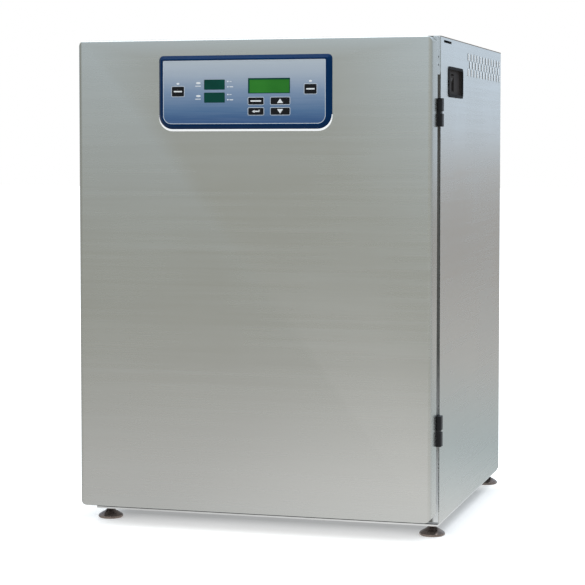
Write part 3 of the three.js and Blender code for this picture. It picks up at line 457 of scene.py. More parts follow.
LOOKS = {
    "stainless_x": brushed_steel("brushed stainless, grain along x", STEEL_TONE, "x"),
    "door_steel": brushed_steel("door stainless", STEEL_TONE, "x", fold=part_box("door_skin")[1].x - 5 * MM),
    "stainless_y": brushed_steel("brushed stainless, grain along y", STEEL_TONE, "y", contrast=0.12,
                                 relief=0.02),
    "liner_steel": satin_sheet("liner stainless", (0.66, 0.67, 0.67), 0.26),
    "galvanised": galvanised_sheet("zinc spangle"),
    "mineral_wool": mineral_wool("mineral wool"),
    "black_plastic": moulded_plastic("black moulded plastic", (0.010, 0.010, 0.012), 0.46, wear=0.20,
                                     gloss=0.25),
    "key_black": moulded_plastic("black key plastic", (0.006, 0.007, 0.009), 0.42, wear=0.08, gloss=0.18),
    # the second colour, for the recess, is lighter than the flange: painted light in the recess
    "switch_black": switch_plastic("black switch plastic", (0.012, 0.012, 0.014), (0.052, 0.046, 0.045),
                                   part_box("right_side_panel")[1].x),
    "dark_frame": thermal_break("thermal break plastic", (0.160, 0.158, 0.146), (0.85, 0.86, 0.85), 0.08, 0.32,
                                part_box("front_frame")[1].x),
    "grey_plastic": moulded_plastic("pale grey plastic", (0.50, 0.54, 0.56), 0.45, wear=0.10),
    "black_silicone": silicone("black silicone", (0.022, 0.022, 0.024)),
    "white_silicone": silicone("white silicone", (0.74, 0.73, 0.69), 0.55),
    "blue_plastic": lacquered_blue("navy gloss plastic"),
    "overlay_film": printed_overlay("printed overlay film", OVERLAY_LOW.z, OVERLAY_HIGH.z),
    "green_display": backlit_glass("green character display", (0.022, 0.170, 0.020), (0.032, 0.215, 0.026),
                                   0.0012, 0.10),
    "dark_filter": backlit_glass("dark green display filter", (0.000, 0.036, 0.026), (0.001, 0.054, 0.040),
                                 0.0021, 0.22),
    "circuit_board": circuit_board("circuit board"),
    "foot_bronze": foot_bronze("bronzed foot"),
    "clear_glass": clear_glass("toughened glass"),
    "filter_paper": pleated_paper("filter paper"),
    "brass": machined_brass("machined brass"),
    "white_ink": printed_mark("white ink", (0.88, 0.90, 0.92)),
    "grey_ink": printed_mark("grey ink", (0.42, 0.45, 0.48)),
    "edge_ink": printed_mark("pale edge ink", (0.62, 0.68, 0.76)),
    # these two glow: painted highlights on the pod's lower lip and on the louvre lips
    "bright_trim": bright_trim("bright trim", 0.35),
    "lit_edge": bright_trim("lit edge of pressed steel", 0.14),
    "pale_rim": moulded_plastic("pale rim", (0.66, 0.70, 0.72), 0.5, wear=0.05),
    # painted shade: the dark strip under the top cover's fold
    "seam_shade_strip": moulded_plastic("painted_shade in the seam", (0.20, 0.17, 0.14), 0.6, wear=0.05, gloss=0.2),
    # a lighter steel: on the base flange it is partly a painted highlight
    "bright_steel": satin_sheet("bright folded edge", (0.82, 0.83, 0.83), 0.30),
}

GRAIN_Y_NODES = {"left_side_panel", "right_side_panel", "top_cover"}
NODE_LOOKS = {name: "key_black" for name in NODES if name.startswith("key_")}
NODE_LOOKS["door_skin"] = "door_steel"
NODE_LOOKS["switch_housing"] = NODE_LOOKS["power_rocker"] = "switch_black"


def look_of(node, slot):
    if node in NODE_LOOKS:
        return LOOKS[NODE_LOOKS[node]]
    if slot == "stainless":
        return LOOKS["stainless_y" if node in GRAIN_Y_NODES else "stainless_x"]
    return LOOKS[slot]


def put_look(piece, material):
    piece.data.materials.clear()
    piece.data.materials.append(material)


# ---------------------------------------------------------------- CAD nodes: looks and rounded edges
EDGE_ROUNDING = {
    "door_skin": 0.7, "pod_bezel": 0.6,
    "upper_hinge_cabinet_half": 0.7, "upper_hinge_door_half": 0.7, "lower_hinge_cabinet_half": 0.7,
    "lower_hinge_door_half": 0.7, "cable_loom_guard": 1.4, "switch_housing": 0.6, "power_rocker": 0.5,
    "inner_door_glass": 1.0, "inner_door_knob": 0.6, "access_port_stopper": 0.6, "gas_inlet_barb": 0.25,
    "mains_inlet": 0.5, "power_supply": 1.2, "blower_motor": 0.6, "base_plate": 0.4,
}
KEY_ROUNDING = 0.35
ROUNDING_ANGLE = math.radians(34)


def finish_node(node, slot):
    piece = NODES[node]
    put_look(piece, look_of(node, slot))
    mesh = piece.data
    if mesh.has_custom_normals:
        with bpy.context.temp_override(object=piece, active_object=piece, selected_objects=[piece]):
            bpy.ops.mesh.customdata_custom_splitnormals_clear()
    mesh.polygons.foreach_set("use_smooth", [True] * len(mesh.polygons))
    weld = piece.modifiers.new("weld", "WELD")
    weld.merge_threshold = 0.00001
    width = KEY_ROUNDING if node.startswith("key_") else EDGE_ROUNDING.get(node)
    if width:
        bevel = piece.modifiers.new("rounded edges", "BEVEL")
        bevel.width = width * MM
        bevel.segments = 2
        bevel.limit_method = "ANGLE"
        bevel.angle_limit = ROUNDING_ANGLE
        bevel.harden_normals = True
    else:
        split = piece.modifiers.new("crisp edges", "EDGE_SPLIT")
        split.split_angle = ROUNDING_ANGLE
        split.use_edge_sharp = False


for row in frame["record"]["subparts"]:
    finish_node(row["node"], row["material_slot"])


# ---------------------------------------------------------------- shared mesh code
def make_piece(name, bm, body, look):
    """Turns a mesh in the making into a piece that rides a body and look."""
    bmesh.ops.remove_doubles(bm, verts=bm.verts, dist=0.000001)
    bmesh.ops.recalc_face_normals(bm, faces=bm.faces)
    for edge in bm.edges:
        if len(edge.link_faces) == 2 and edge.calc_face_angle() > ROUNDING_ANGLE:
            edge.smooth = False
    for face in bm.faces:
        face.smooth = True
    mesh = bpy.data.meshes.new(name)
    bm.to_mesh(mesh)
    bm.free()
    piece = bpy.data.objects.new(name, mesh)
    bpy.context.scene.collection.objects.link(piece)
    put_look(piece, LOOKS[look])
    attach(piece, body)
    return piece


def skin(bm, rings, capped=False):
    """Faces from each ring of points to the next, and over both ends if capped."""
    for low, high in zip(rings, rings[1:]):
        for i in range(len(low)):
            j = (i + 1) % len(low)
            bm.faces.new((low[i], low[j], high[j], high[i]))
    if capped:
        bm.faces.new(rings[0])
        bm.faces.new(rings[-1])


def rounded_outline(u0, u1, v0, v1, radii, steps=6):
    """Points of a rectangle with one corner radius, or [lower left, lower right, upper right, upper left]."""
    a, b, c, d = radii if isinstance(radii, list) else [radii] * 4
    corners = [(u0 + a, v0 + a, a, 180), (u1 - b, v0 + b, b, 270), (u1 - c, v1 - c, c, 0),
               (u0 + d, v1 - d, d, 90)]
    points = []
    for u, v, radius, start in corners:
        count = steps if radius > 0 else 0
        for i in range(count + 1):
            angle = math.radians(start + (90 * i / count if count else 0))
            points.append((u + radius * math.cos(angle), v + radius * math.sin(angle)))
    return points


def front_outline(low, high, out, radii, steps):
    """The outline of a box as seen from the front, grown outwards by a distance."""
    return rounded_outline(low.x - out, high.x + out, low.z - out, high.z + out, radii, steps)


def ellipse(u, v, half_u, half_v, sides=20):
    turns = [2 * math.pi * i / sides for i in range(sides)]
    return [(u + half_u * math.cos(turn), v + half_v * math.sin(turn)) for turn in turns]


def plate(bm, outline, y0, y1, chamfer=0.0):
    """A plate between two depths whose front face, at y0, is smaller by a chamfer."""
    count = len(outline)
    centre = Vector((sum(u for u, v in outline) / count, sum(v for u, v in outline) / count))

    def ring(y, inset):
        points = []
        for u, v in outline:
            away = Vector((u, v)) - centre
            shift = away.normalized() * inset if away.length > inset else away
            points.append(bm.verts.new((u - shift.x, y, v - shift.y)))
        return points

    rings = [ring(y1, 0.0), ring(y0 + chamfer, 0.0)]
    if chamfer:
        rings.append(ring(y0, chamfer))
    skin(bm, rings, capped=True)


def frame_strip(bm, outer, inner, y0, y1):
    """A flat ring between two outlines with equal numbers of points."""
    count = len(outer)
    sets = [[bm.verts.new((u, y, v)) for u, v in points] for points in (outer, inner) for y in (y0, y1)]
    outer_front, outer_back, inner_front, inner_back = sets
    for i in range(count):
        j = (i + 1) % count
        bm.faces.new((outer_front[i], outer_front[j], inner_front[j], inner_front[i]))
        bm.faces.new((outer_back[i], inner_back[i], inner_back[j], outer_back[j]))
        bm.faces.new((outer_front[i], outer_back[i], outer_back[j], outer_front[j]))
        bm.faces.new((inner_front[i], inner_front[j], inner_back[j], inner_back[i]))


def domed_disc(bm, centre, normal, radius, height, sides=18, rings=4):
    """A pan screw head: a shallow dome standing on a surface."""
    upright = Vector((0, 0, 1)).rotation_difference(Vector(normal)).to_matrix()
    loops = []
    for ring in range(rings):
        angle = math.pi / 2 * ring / rings
        circle = []
        for i in range(sides):
            spin = 2 * math.pi * i / sides
            reach = math.cos(angle) * radius
            spot = Vector((math.cos(spin) * reach, math.sin(spin) * reach, math.sin(angle) * height))
            circle.append(bm.verts.new(Vector(centre) + upright @ spot))
        loops.append(circle)
    skin(bm, loops, capped=True)


def border_spots(low, high, inset, columns=4, rows=5):
    """Where the screws sit along the border of an upright panel."""
    x0, x1, z0, z1 = low.x + inset, high.x - inset, low.z + inset, high.z - inset
    spots = [(x0 + (x1 - x0) * i / (columns - 1), z) for i in range(columns) for z in (z0, z1)]
    return spots + [(x, z0 + (z1 - z0) * i / (rows - 1)) for i in range(1, rows - 1) for x in (x0, x1)]


# ---------------------------------------------------------------- control pod
POD_LOW, POD_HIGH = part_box("pod_bezel")
FACE_Y = OVERLAY_LOW.y  # the printed face of the pod
MARK = 0.00012  # thickness of printed marks
SKIM = 0.00003  # and of the signs on the keys, the foremost part of the object
KEY_NAMES = ["key_menu", "key_enter", "key_up", "key_down", "key_mode", "key_silence"]
DIGITS_LOW, DIGITS_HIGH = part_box("numeric_display")
DIGIT_TOPS = [DIGITS_HIGH.z - below * MM for below in (4.85, 27.95)]
DIGIT_MARGIN = 4.8 * MM  # from the filter's edge to a digit window


def pod_trim_highlight():
    """A bright lip that follows the lower edge of the pod's bezel: a trim whose glowing look is a painted
    highlight.
    """
    bm = bmesh.new()
    lip = 3.6 * MM
    radius = 26 * MM
    steps = 10
    door_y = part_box("door_skin")[0].y
    left, right, bottom = POD_LOW.x, POD_HIGH.x, POD_LOW.z
    arcs = []
    for centre_x, start in ((left + radius, 180), (right - radius, 270)):
        for i in range(steps + 1):
            arcs.append((centre_x, math.radians(start + 90 * i / steps)))
    rings = []
    for index, (centre_x, angle) in enumerate(arcs):
        from_end = min(index, len(arcs) - 1 - index)
        grow = math.sin(math.pi * from_end / (2 * steps)) if from_end < steps else 1.0
        out = Vector((math.cos(angle), 0, math.sin(angle)))
        spot = Vector((centre_x, 0, bottom + radius)) + out * (radius - 0.2 * MM)
        tip = spot + out * lip * max(grow, 0.05)
        rings.append([bm.verts.new((point.x, y, point.z)) for point, y in
                      ((spot, door_y - 3.4 * MM), (tip, door_y - 2.2 * MM), (tip, door_y - 0.1 * MM),
                       (spot, door_y - 0.1 * MM))])
    skin(bm, rings, capped=True)
    make_piece("pod_trim_highlight", bm, "outer_door", "bright_trim")


def overlay_edge():
    """The thin pale line round the printed overlay."""
    bm = bmesh.new()
    lower, upper = 15 * MM, 2.2 * MM  # corner radii

    def outline(inset):
        radii = [lower - inset, lower - inset, upper - inset, upper - inset]
        return front_outline(OVERLAY_LOW, OVERLAY_HIGH, -inset, radii, 8)

    frame_strip(bm, outline(0.2 * MM), outline(1.3 * MM), FACE_Y - MARK, FACE_Y + MARK)
    make_piece("overlay_edge_line", bm, "outer_door", "edge_ink")


def key_surrounds():
    """A pale printed outline round each key."""
    bm = bmesh.new()
    line = 1.0 * MM
    space = 0.5 * MM
    for name in KEY_NAMES:
        low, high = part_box(name)
        inner = front_outline(low, high, space, 1.8 * MM, 5)
        outer = front_outline(low, high, space + line, 2.8 * MM, 5)
        frame_strip(bm, outer, inner, FACE_Y - MARK, FACE_Y + MARK)
    make_piece("key_surrounds", bm, "outer_door", "edge_ink")


def key_legends():
    """Generic signs on the keys: bars, a return arrow and two triangles."""
    for name in KEY_NAMES:
        low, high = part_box(name)
        x, z = (low.x + high.x) / 2, (low.z + high.z) / 2
        bm = bmesh.new()

        def sign(outline):
            plate(bm, outline, low.y - SKIM, low.y + SKIM)

        if name in ("key_up", "key_down"):
            half = 5.6 * MM
            rise = 0.34 * (high.z - low.z) * (1 if name == "key_up" else -1)
            triangle = [(x - half, z - rise), (x + half, z - rise), (x, z + rise)]
            sign(triangle if rise > 0 else triangle[::-1])
        elif name == "key_enter":
            bar, end = 1.1 * MM, x + 7.2 * MM
            sign(rounded_outline(x - 2.6 * MM, end, z - bar, z + bar, 0.2 * MM, 2))
            sign(rounded_outline(x + 5.0 * MM, end, z, z + 2.6 * MM, 0.2 * MM, 2))
            sign([(x - 7.2 * MM, z), (x - 2.2 * MM, z - 2.7 * MM), (x - 2.2 * MM, z + 2.7 * MM)])
        else:
            bar = 1.25 * MM
            reach = 0.36 * (high.x - low.x)
            sign(rounded_outline(x - reach, x + reach, z - bar, z + bar, bar * 0.9, 4))
        make_piece(f"{name}_sign", bm, name, "white_ink")


def overlay_marks():
    """Lamps and short bars beside the displays and above the outer keys."""
    bm = bmesh.new()

    def lamp(x, z, half_x=3.0 * MM, half_z=1.7 * MM):
        plate(bm, ellipse(x, z, half_x, half_z), FACE_Y - 3 * MARK, FACE_Y + MARK, 2 * MARK)

    def bar(x0, x1, z, half=0.7 * MM):
        plate(bm, rounded_outline(x0, x1, z - half, z + half, half * 0.9, 3), FACE_Y - MARK, FACE_Y + MARK)

    for name in ("key_mode", "key_silence"):
        low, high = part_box(name)
        lamp((low.x + high.x) / 2, high.z + 5.6 * MM)
    left, right = DIGITS_LOW.x + DIGIT_MARGIN, DIGITS_HIGH.x - DIGIT_MARGIN
    for top in DIGIT_TOPS:
        lamp(left - 11 * MM, top - 5.8 * MM, 4.4 * MM, 2.0 * MM)
        bar(left - 17 * MM, left - 6.5 * MM, top - 11.2 * MM)
        for drop, length, half in ((3.4 * MM, 4 * MM, 0.5 * MM), (12.8 * MM, 7 * MM, 0.8 * MM)):
            lamp(right + 6 * MM, top - drop, 1.5 * MM, 1.2 * MM)
            bar(right + 9 * MM, right + 9 * MM + length, top - drop, half)
    make_piece("overlay_marks", bm, "outer_door", "white_ink")


def display_bezel():
    """The sunk edge of the character display's window, wide along the top and the left."""
    bm = bmesh.new()
    low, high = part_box("lcd_display")
    x0, x1, z0, z1 = low.x + 5.65 * MM, high.x - 5.65 * MM, low.z + 3.15 * MM, high.z - 6.05 * MM
    wide, thin, lap = 2.2 * MM, 0.7 * MM, 0.4 * MM
    outer = rounded_outline(x0 - lap, x1 + lap, z0 - lap, z1 + lap, 0.6 * MM, 2)
    inner = rounded_outline(x0 + wide, x1 - thin, z0 + thin, z1 - wide, 0.4 * MM, 2)
    frame_strip(bm, outer, inner, FACE_Y - 1.5 * MARK, FACE_Y + MARK)
    make_piece("lcd_window_edge", bm, "outer_door", "dark_filter")


pod_trim_highlight()
overlay_edge()
key_surrounds()
key_legends()
overlay_marks()
display_bezel()


# ---------------------------------------------------------------- fittings outside
SIDE = Matrix.Rotation(math.radians(90), 3, "Z")  # turns a piece drawn as seen from the front to face +X
REAR = Matrix.Rotation(math.radians(180), 3, "Z")
BODY_LOW, BODY_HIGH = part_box("right_side_panel")
CENTRE_Y = (BODY_LOW.y + BODY_HIGH.y) / 2
BASE_X = (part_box("left_side_panel")[0].x + BODY_HIGH.x) / 2
BASE_SHEET = 1.2 * MM
LAID_FLAT = Matrix(((1, 0, 0, 0), (0, 0, 1, CENTRE_Y), (0, 1, 0, 0), (0, 0, 0, 1)))
VENT_PITCH, VENT_COLUMNS, VENT_WIDTH, VENT_HEIGHT = 31.6 * MM, 12, 7.5 * MM, 17.5 * MM
VENT_FIRST = BODY_LOW.y + 259 * MM
VENT_ROWS = [BODY_HIGH.z - below * MM for below in (55, 40.5, 26)]
LIP_WIDTH = 4.0 * MM
SEAM_WIDTH = 1.7 * MM
ROCKER_REST = 8.0  # degrees that the switched-off rocker leans
ROCKER_HALF, ROCKER_RISE, ROCKER_CREST = 14.2 * MM, 2.4 * MM, 7.4 * MM
BLANK_PLATE = (100 * MM, 700 * MM, 45 * MM, 28 * MM)  # x, z and half sizes


def turn(bm, matrix):
    bmesh.ops.transform(bm, matrix=matrix.to_4x4(), verts=bm.verts)


def loom_guard_trim():
    """A pale rim round the guard at the top of the door gap, and its two screws."""
    low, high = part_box("cable_loom_guard")
    face = -high.x
    rim = 1.5 * MM
    bm = bmesh.new()
    outer = rounded_outline(low.y, high.y, low.z, high.z, [9 * MM, 9 * MM, 1 * MM, 1 * MM], 5)
    inner = rounded_outline(low.y + rim, high.y - rim, low.z + rim, high.z - rim,
                            [7.5 * MM, 7.5 * MM, 0.3 * MM, 0.3 * MM], 5)
    frame_strip(bm, outer, inner, face - 0.4 * MM, face + 0.2 * MM)
    turn(bm, SIDE)
    make_piece("loom_guard_rim", bm, "cabinet", "pale_rim")
    bm = bmesh.new()
    for height in (17 * MM, 31 * MM):
        domed_disc(bm, (high.x, (low.y + high.y) / 2, low.z + height), (1, 0, 0), 1.9 * MM, 0.9 * MM, 14, 3)
    make_piece("loom_guard_screws", bm, "cabinet", "black_plastic")


def vent_lips():
    """The pressed lip along the rear side of each louvre slot in the right panel, in a glowing look that paints a
    highlight along it.
    """
    bm = bmesh.new()
    for row, z in enumerate(VENT_ROWS):
        shift = VENT_PITCH / 2 if row == 1 else 0.0
        for column in range(VENT_COLUMNS - (row == 1)):
            y = VENT_FIRST + shift + column * VENT_PITCH + VENT_WIDTH / 2
            reach = VENT_HEIGHT / 2 - 2 * MM
            outline = rounded_outline(y - 0.2 * MM, y + LIP_WIDTH, z - reach, z + reach, 1.3 * MM, 3)
            plate(bm, outline, -BODY_HIGH.x - 0.8 * MM, -BODY_HIGH.x + 0.1 * MM, 0.6 * MM)
    turn(bm, SIDE)
    make_piece("vent_lips", bm, "cabinet", "lit_edge")


def top_seam():
    """A dark strip along the line where the top cover's fold meets the right side panel: painted shade of the
    fold's rounded edge.
    """
    bm = bmesh.new()
    outline = rounded_outline(BODY_LOW.y + 1 * MM, BODY_HIGH.y - 1 * MM, BODY_HIGH.z - SEAM_WIDTH,
                              BODY_HIGH.z - 0.1 * MM, 0.3 * MM, 2)
    plate(bm, outline, -BODY_HIGH.x - 0.08 * MM, -BODY_HIGH.x + 0.1 * MM)
    turn(bm, SIDE)
    make_piece("top_seam", bm, "cabinet", "seam_shade_strip")


def base_flange():
    """The base sheet's folded rim, which shows as a pale line under the panels, in a lighter steel that is partly
    a painted highlight, with a dark strip above it that is painted shade under the panels' lower edge.
    """
    for name, look, slot, inset, top, bottom in (
            ("base_flange", "bright_steel", "galvanised", 0.6 * MM, 2.0 * MM, 5.0 * MM),
            ("base_shade_strip", "black_silicone", "black_silicone", 1.0 * MM, 0.1 * MM, 2.0 * MM)):
        bm = bmesh.new()
        half_x, half_y = BODY_HIGH.x - inset, (BODY_HIGH.y - BODY_LOW.y) / 2 - inset

        def outline(margin):
            reach_x, reach_y = half_x - margin, half_y - margin
            return rounded_outline(BASE_X - reach_x, BASE_X + reach_x, -reach_y, reach_y, 3 * MM - margin, 3)

        frame_strip(bm, outline(0.0), outline(BASE_SHEET), BODY_LOW.z - bottom, BODY_LOW.z - top)
        bmesh.ops.transform(bm, matrix=LAID_FLAT, verts=bm.verts)
        make_piece(name, bm, "cabinet", look)


def rocker_marks():
    """The on bar and the off ring, printed on the two flanks of the rocker."""
    pivot = Vector(JOINTS["power_rocker_tilt"]["pos_m"])
    rest = math.radians(ROCKER_REST)
    flank = math.atan2(ROCKER_RISE, ROCKER_HALF)
    for name, sign in (("rocker_bar", 1), ("rocker_ring", -1)):
        bm = bmesh.new()
        if sign > 0:
            plate(bm, rounded_outline(-0.7 * MM, 0.7 * MM, -2.8 * MM, 2.8 * MM, 0.6 * MM, 3), -MARK, MARK)
        else:
            frame_strip(bm, ellipse(0, 0, 2.9 * MM, 2.9 * MM), ellipse(0, 0, 1.9 * MM, 1.9 * MM), -MARK, MARK)
        turn(bm, SIDE)
        turn(bm, Matrix.Rotation(rest + sign * flank, 3, "Y"))
        middle = Matrix.Rotation(rest, 3, "Y") @ Vector((ROCKER_CREST, 0, sign * ROCKER_HALF / 2))
        bmesh.ops.translate(bm, vec=pivot + middle, verts=bm.verts)
        make_piece(name, bm, "power_rocker", "grey_ink")


def rear_screw(bm, x, y, z, radius):
    domed_disc(bm, (x, y, z), (0, 1, 0), radius, 0.5 * radius)


def rear_fittings():
    """Screws round the rear panel and beside the mains inlet, and a blank plate."""
    bm = bmesh.new()
    low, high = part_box("rear_panel")
    y = high.y
    for x, z in border_spots(low, high, 11 * MM):
        rear_screw(bm, x, y, z, 3.2 * MM)
    inlet_low, inlet_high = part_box("mains_inlet")
    for x in (inlet_low.x - 6 * MM, inlet_high.x + 6 * MM):
        rear_screw(bm, x, y, (inlet_low.z + inlet_high.z) / 2, 2.2 * MM)
    make_piece("rear_screws", bm, "cabinet", "galvanised")
    bm = bmesh.new()
    x, z, half_x, half_z = BLANK_PLATE
    outline = rounded_outline(-x - half_x, -x + half_x, z - half_z, z + half_z, 3 * MM, 4)
    plate(bm, outline, -y - 0.6 * MM, -y, 0.3 * MM)
    turn(bm, REAR)
    make_piece("rear_blank_plate", bm, "cabinet", "bright_steel")


def cover_screws():
    """The four screws of the top cover."""
    low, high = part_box("top_cover")
    bm = bmesh.new()
    for x in (low.x + 8 * MM, high.x - 8 * MM):
        for y in (low.y + 30 * MM, high.y - 30 * MM):
            domed_disc(bm, (x, y, high.z - 1.0 * MM), (0, 0, 1), 3.4 * MM, 0.9 * MM)
    make_piece("top_cover_screws", bm, "cabinet", "galvanised")


loom_guard_trim()
vent_lips()
top_seam()
base_flange()
rocker_marks()
rear_fittings()
cover_screws()


# ---------------------------------------------------------------- fittings behind the doors
HOLE_TURNS = [math.radians(45 + 30 * i) for i in range(12)]
LIP_PROFILE = [(0.0, 0.0), (0.0, -9.5), (-0.8, -11.2), (-2.4, -12.0), (-4.2, -11.4), (-4.8, -9.8),
               (-3.6, -9.8), (-2.4, -10.8), (-1.2, -9.5), (-1.2, 0.0)]  # depth and height, mm
GASKET_WIDTH = 14.0
GASKET_HALF = [(1.5, 0.0), (1.5, 0.13), (4.2, 0.20), (1.0, 0.32), (1.0, 0.42), (4.4, 0.52), (0.4, 0.62),
               (0.0, 0.72), (0.0, 0.94), (1.0, 1.0)]  # inset in mm, and share of the depth


def perforated_sheet(bm, x_edges, y_edges, z0, z1, radius, bare):
    """A sheet cut into cells, each with a round hole, save the bare ones round the border."""
    corners = {}

    def corner(i, j, level):
        if (i, j, level) not in corners:
            corners[i, j, level] = bm.verts.new((x_edges[i], y_edges[j], (z0, z1)[level]))
        return corners[i, j, level]

    for i in range(len(x_edges) - 1):
        for j in range(len(y_edges) - 1):
            x, y = (x_edges[i] + x_edges[i + 1]) / 2, (y_edges[j] + y_edges[j + 1]) / 2
            rings = []
            for level in (0, 1):
                square = [corner(i + 1, j + 1, level), corner(i, j + 1, level), corner(i, j, level),
                          corner(i + 1, j, level)]
                if bare(i, j):
                    bm.faces.new(square)
                    continue
                z = (z0, z1)[level]
                ring = [bm.verts.new((x + radius * math.cos(angle), y + radius * math.sin(angle), z))
                        for angle in HOLE_TURNS]
                for side in range(4):
                    arc = [ring[(3 * side + k) % 12] for k in range(4)]
                    bm.faces.new([square[side], *arc, square[(side + 1) % 4]])
                rings.append(ring)
            skin(bm, rings)


def perforated_shelves():
    """Shelf sheets with rows of round holes and a rolled lip along the front and back."""
    pitch, hole = 25 * MM, 5.5 * MM
    low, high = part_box("shelf_lower")
    sheet = 1.5 * MM
    counts = [int((high[axis] - low[axis]) / pitch) - 1 for axis in (0, 1)]
    edges = []
    for axis, count in enumerate(counts):
        middle = (low[axis] + high[axis]) / 2
        inside = [middle + (k - count / 2) * pitch for k in range(count + 1)]
        edges.append([low[axis], *inside, high[axis]])

    def bare(i, j):
        return i in (0, counts[0] + 1) or j in (0, counts[1] + 1)

    flat = bmesh.new()
    perforated_sheet(flat, edges[0], edges[1], high.z - sheet, high.z, hole, bare)
    inset = 14 * MM
    for y, out in ((low.y, -1), (high.y, 1)):
        spots = [(y + out * depth * MM, high.z - sheet + height * MM) for depth, height in LIP_PROFILE]
        ends = [[flat.verts.new((x, *spot)) for spot in spots] for x in (low.x + inset, high.x - inset)]
        skin(flat, ends, capped=True)
    for name in ("shelf_lower", "shelf_middle", "shelf_upper"):
        bm = flat.copy()
        bmesh.ops.translate(bm, vec=(0, 0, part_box(name)[1].z - high.z), verts=bm.verts)
        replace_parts(make_piece(f"{name}_sheet", bm, name, "liner_steel"), name)
    flat.free()


def turned(bm, x, z, profile, sides=48):
    """A round piece about a line along Y, from a closed profile of (radius, y)."""
    rings = [[bm.verts.new((x + radius * math.cos(2 * math.pi * i / sides), y,
                            z + radius * math.sin(2 * math.pi * i / sides))) for i in range(sides)]
             for radius, y in profile]
    skin(bm, rings + rings[:1])


def pleated_filter():
    """The chamber's air filter: folded paper between a moulded cap and a flange."""
    low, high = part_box("air_filter")
    x, z = (low.x + high.x) / 2, (low.z + high.z) / 2
    flange = (high.x - low.x) / 2
    radius = flange - 6 * MM
    pleats = 80
    cap_back, flange_front = low.y + 5 * MM, high.y - 5.7 * MM
    bm = bmesh.new()
    rings = []
    for y in (cap_back - 1 * MM, flange_front + 1 * MM):
        ring = []
        for i in range(2 * pleats):
            angle = math.pi * i / pleats
            reach = radius - (6 * MM if i % 2 else 1.2 * MM)
            ring.append(bm.verts.new((x + reach * math.cos(angle), y, z + reach * math.sin(angle))))
        rings.append(ring)
    skin(bm, rings)
    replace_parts(make_piece("air_filter_pleats", bm, "cabinet", "filter_paper"), "air_filter")
    bm = bmesh.new()
    turned(bm, x, z, [(8 * MM, low.y), (radius - 3 * MM, low.y), (radius, low.y + 2 * MM), (radius, cap_back),
                      (8 * MM, cap_back)])
    turned(bm, x, z, [(radius - 12 * MM, flange_front), (flange - 0.8 * MM, flange_front),
                      (flange, flange_front + 0.8 * MM), (flange, high.y), (radius - 12 * MM, high.y)])
    domed_disc(bm, (x, low.y + 2 * MM, z), (0, -1, 0), 9 * MM, 2 * MM, 24, 4)
    make_piece("air_filter_caps", bm, "cabinet", "grey_plastic")


def bellows_gasket():
    """The outer door's magnetic gasket: a foot, a bellows and the tube that holds the magnet."""
    low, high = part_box("door_gasket")
    profile = GASKET_HALF + [(GASKET_WIDTH - inset, share) for inset, share in reversed(GASKET_HALF)]
    bm = bmesh.new()
    rings = []
    for inset, share in profile:
        radius = (10 - 4 * inset / GASKET_WIDTH) * MM
        y = low.y + share * (high.y - low.y)
        rings.append([bm.verts.new((u, y, v)) for u, v in front_outline(low, high, -inset * MM, radius, 4)])
    skin(bm, rings + rings[:1])
    gasket = make_piece("door_gasket_bellows", bm, "outer_door", "black_silicone")
    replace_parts(gasket, "door_gasket")


def door_liner_fittings():
    """A pressed bead round the middle of the door liner, and its screws just inside the gasket."""
    low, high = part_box("door_liner")
    bm = bmesh.new()
    rings = []
    for inset, rise in ((46, -0.2), (49, 1.3), (55, 1.3), (58, -0.2)):
        outline = front_outline(low, high, -inset * MM, (70 - inset) * MM, 6)
        rings.append([bm.verts.new((u, high.y + rise * MM, v)) for u, v in outline])
    skin(bm, rings)
    make_piece("door_liner_bead", bm, "outer_door", "liner_steel")
    bm = bmesh.new()
    for x, z in border_spots(low, high, 36 * MM):
        rear_screw(bm, x, high.y, z, 3.2 * MM)
    make_piece("door_liner_screws", bm, "outer_door", "galvanised")


perforated_shelves()
pleated_filter()
bellows_gasket()
door_liner_fittings()


# ---------------------------------------------------------------- floor, light and camera
# the floor's glow in the painted shadow under the cabinet, and far from it
FLOOR_GLOW_PAINTED_SHADOW, FLOOR_GLOW_FAR = 0.16, 0.80
NEAR_LEFT, NEAR_RIGHT, NEAR_SIDE = (0.73, 0.71, 0.70), (0.93, 0.91, 0.90), (0.51, 0.59, 0.61)
MIDDLE_FRONT, MIDDLE_SIDE = (0.51, 0.503, 0.458), (0.565, 0.55, 0.53)
HORIZON_FRONT, HORIZON_SIDE = (0.468, 0.461, 0.398), (0.448, 0.425, 0.405)
WALL_LOW_FRONT, WALL_HIGH_FRONT = (0.47, 0.475, 0.445), (0.72, 0.82, 0.90)
WALL_SIDE = (0.645, 0.74, 0.85)
DIM_LEFT, BRIGHT_RIGHT = 0.95, 1.15
FLOOR_REACH = 30.0
LAMP_PLACE, LAMP_TARGET, LAMP_SIZE, LAMP_POWER = (0.2, -0.6, 3.2), (0, 0, 0.3), (3.4, 3.0), 60
CAMERA_PLACE, CAMERA_AZIMUTH, CAMERA_ELEVATION = (0.99896, -3.59721, 0.697), 15.889, 2.903
CAMERA_LENS, CAMERA_SENSOR, CAMERA_SHIFT = 116.9, 36.0, -0.08


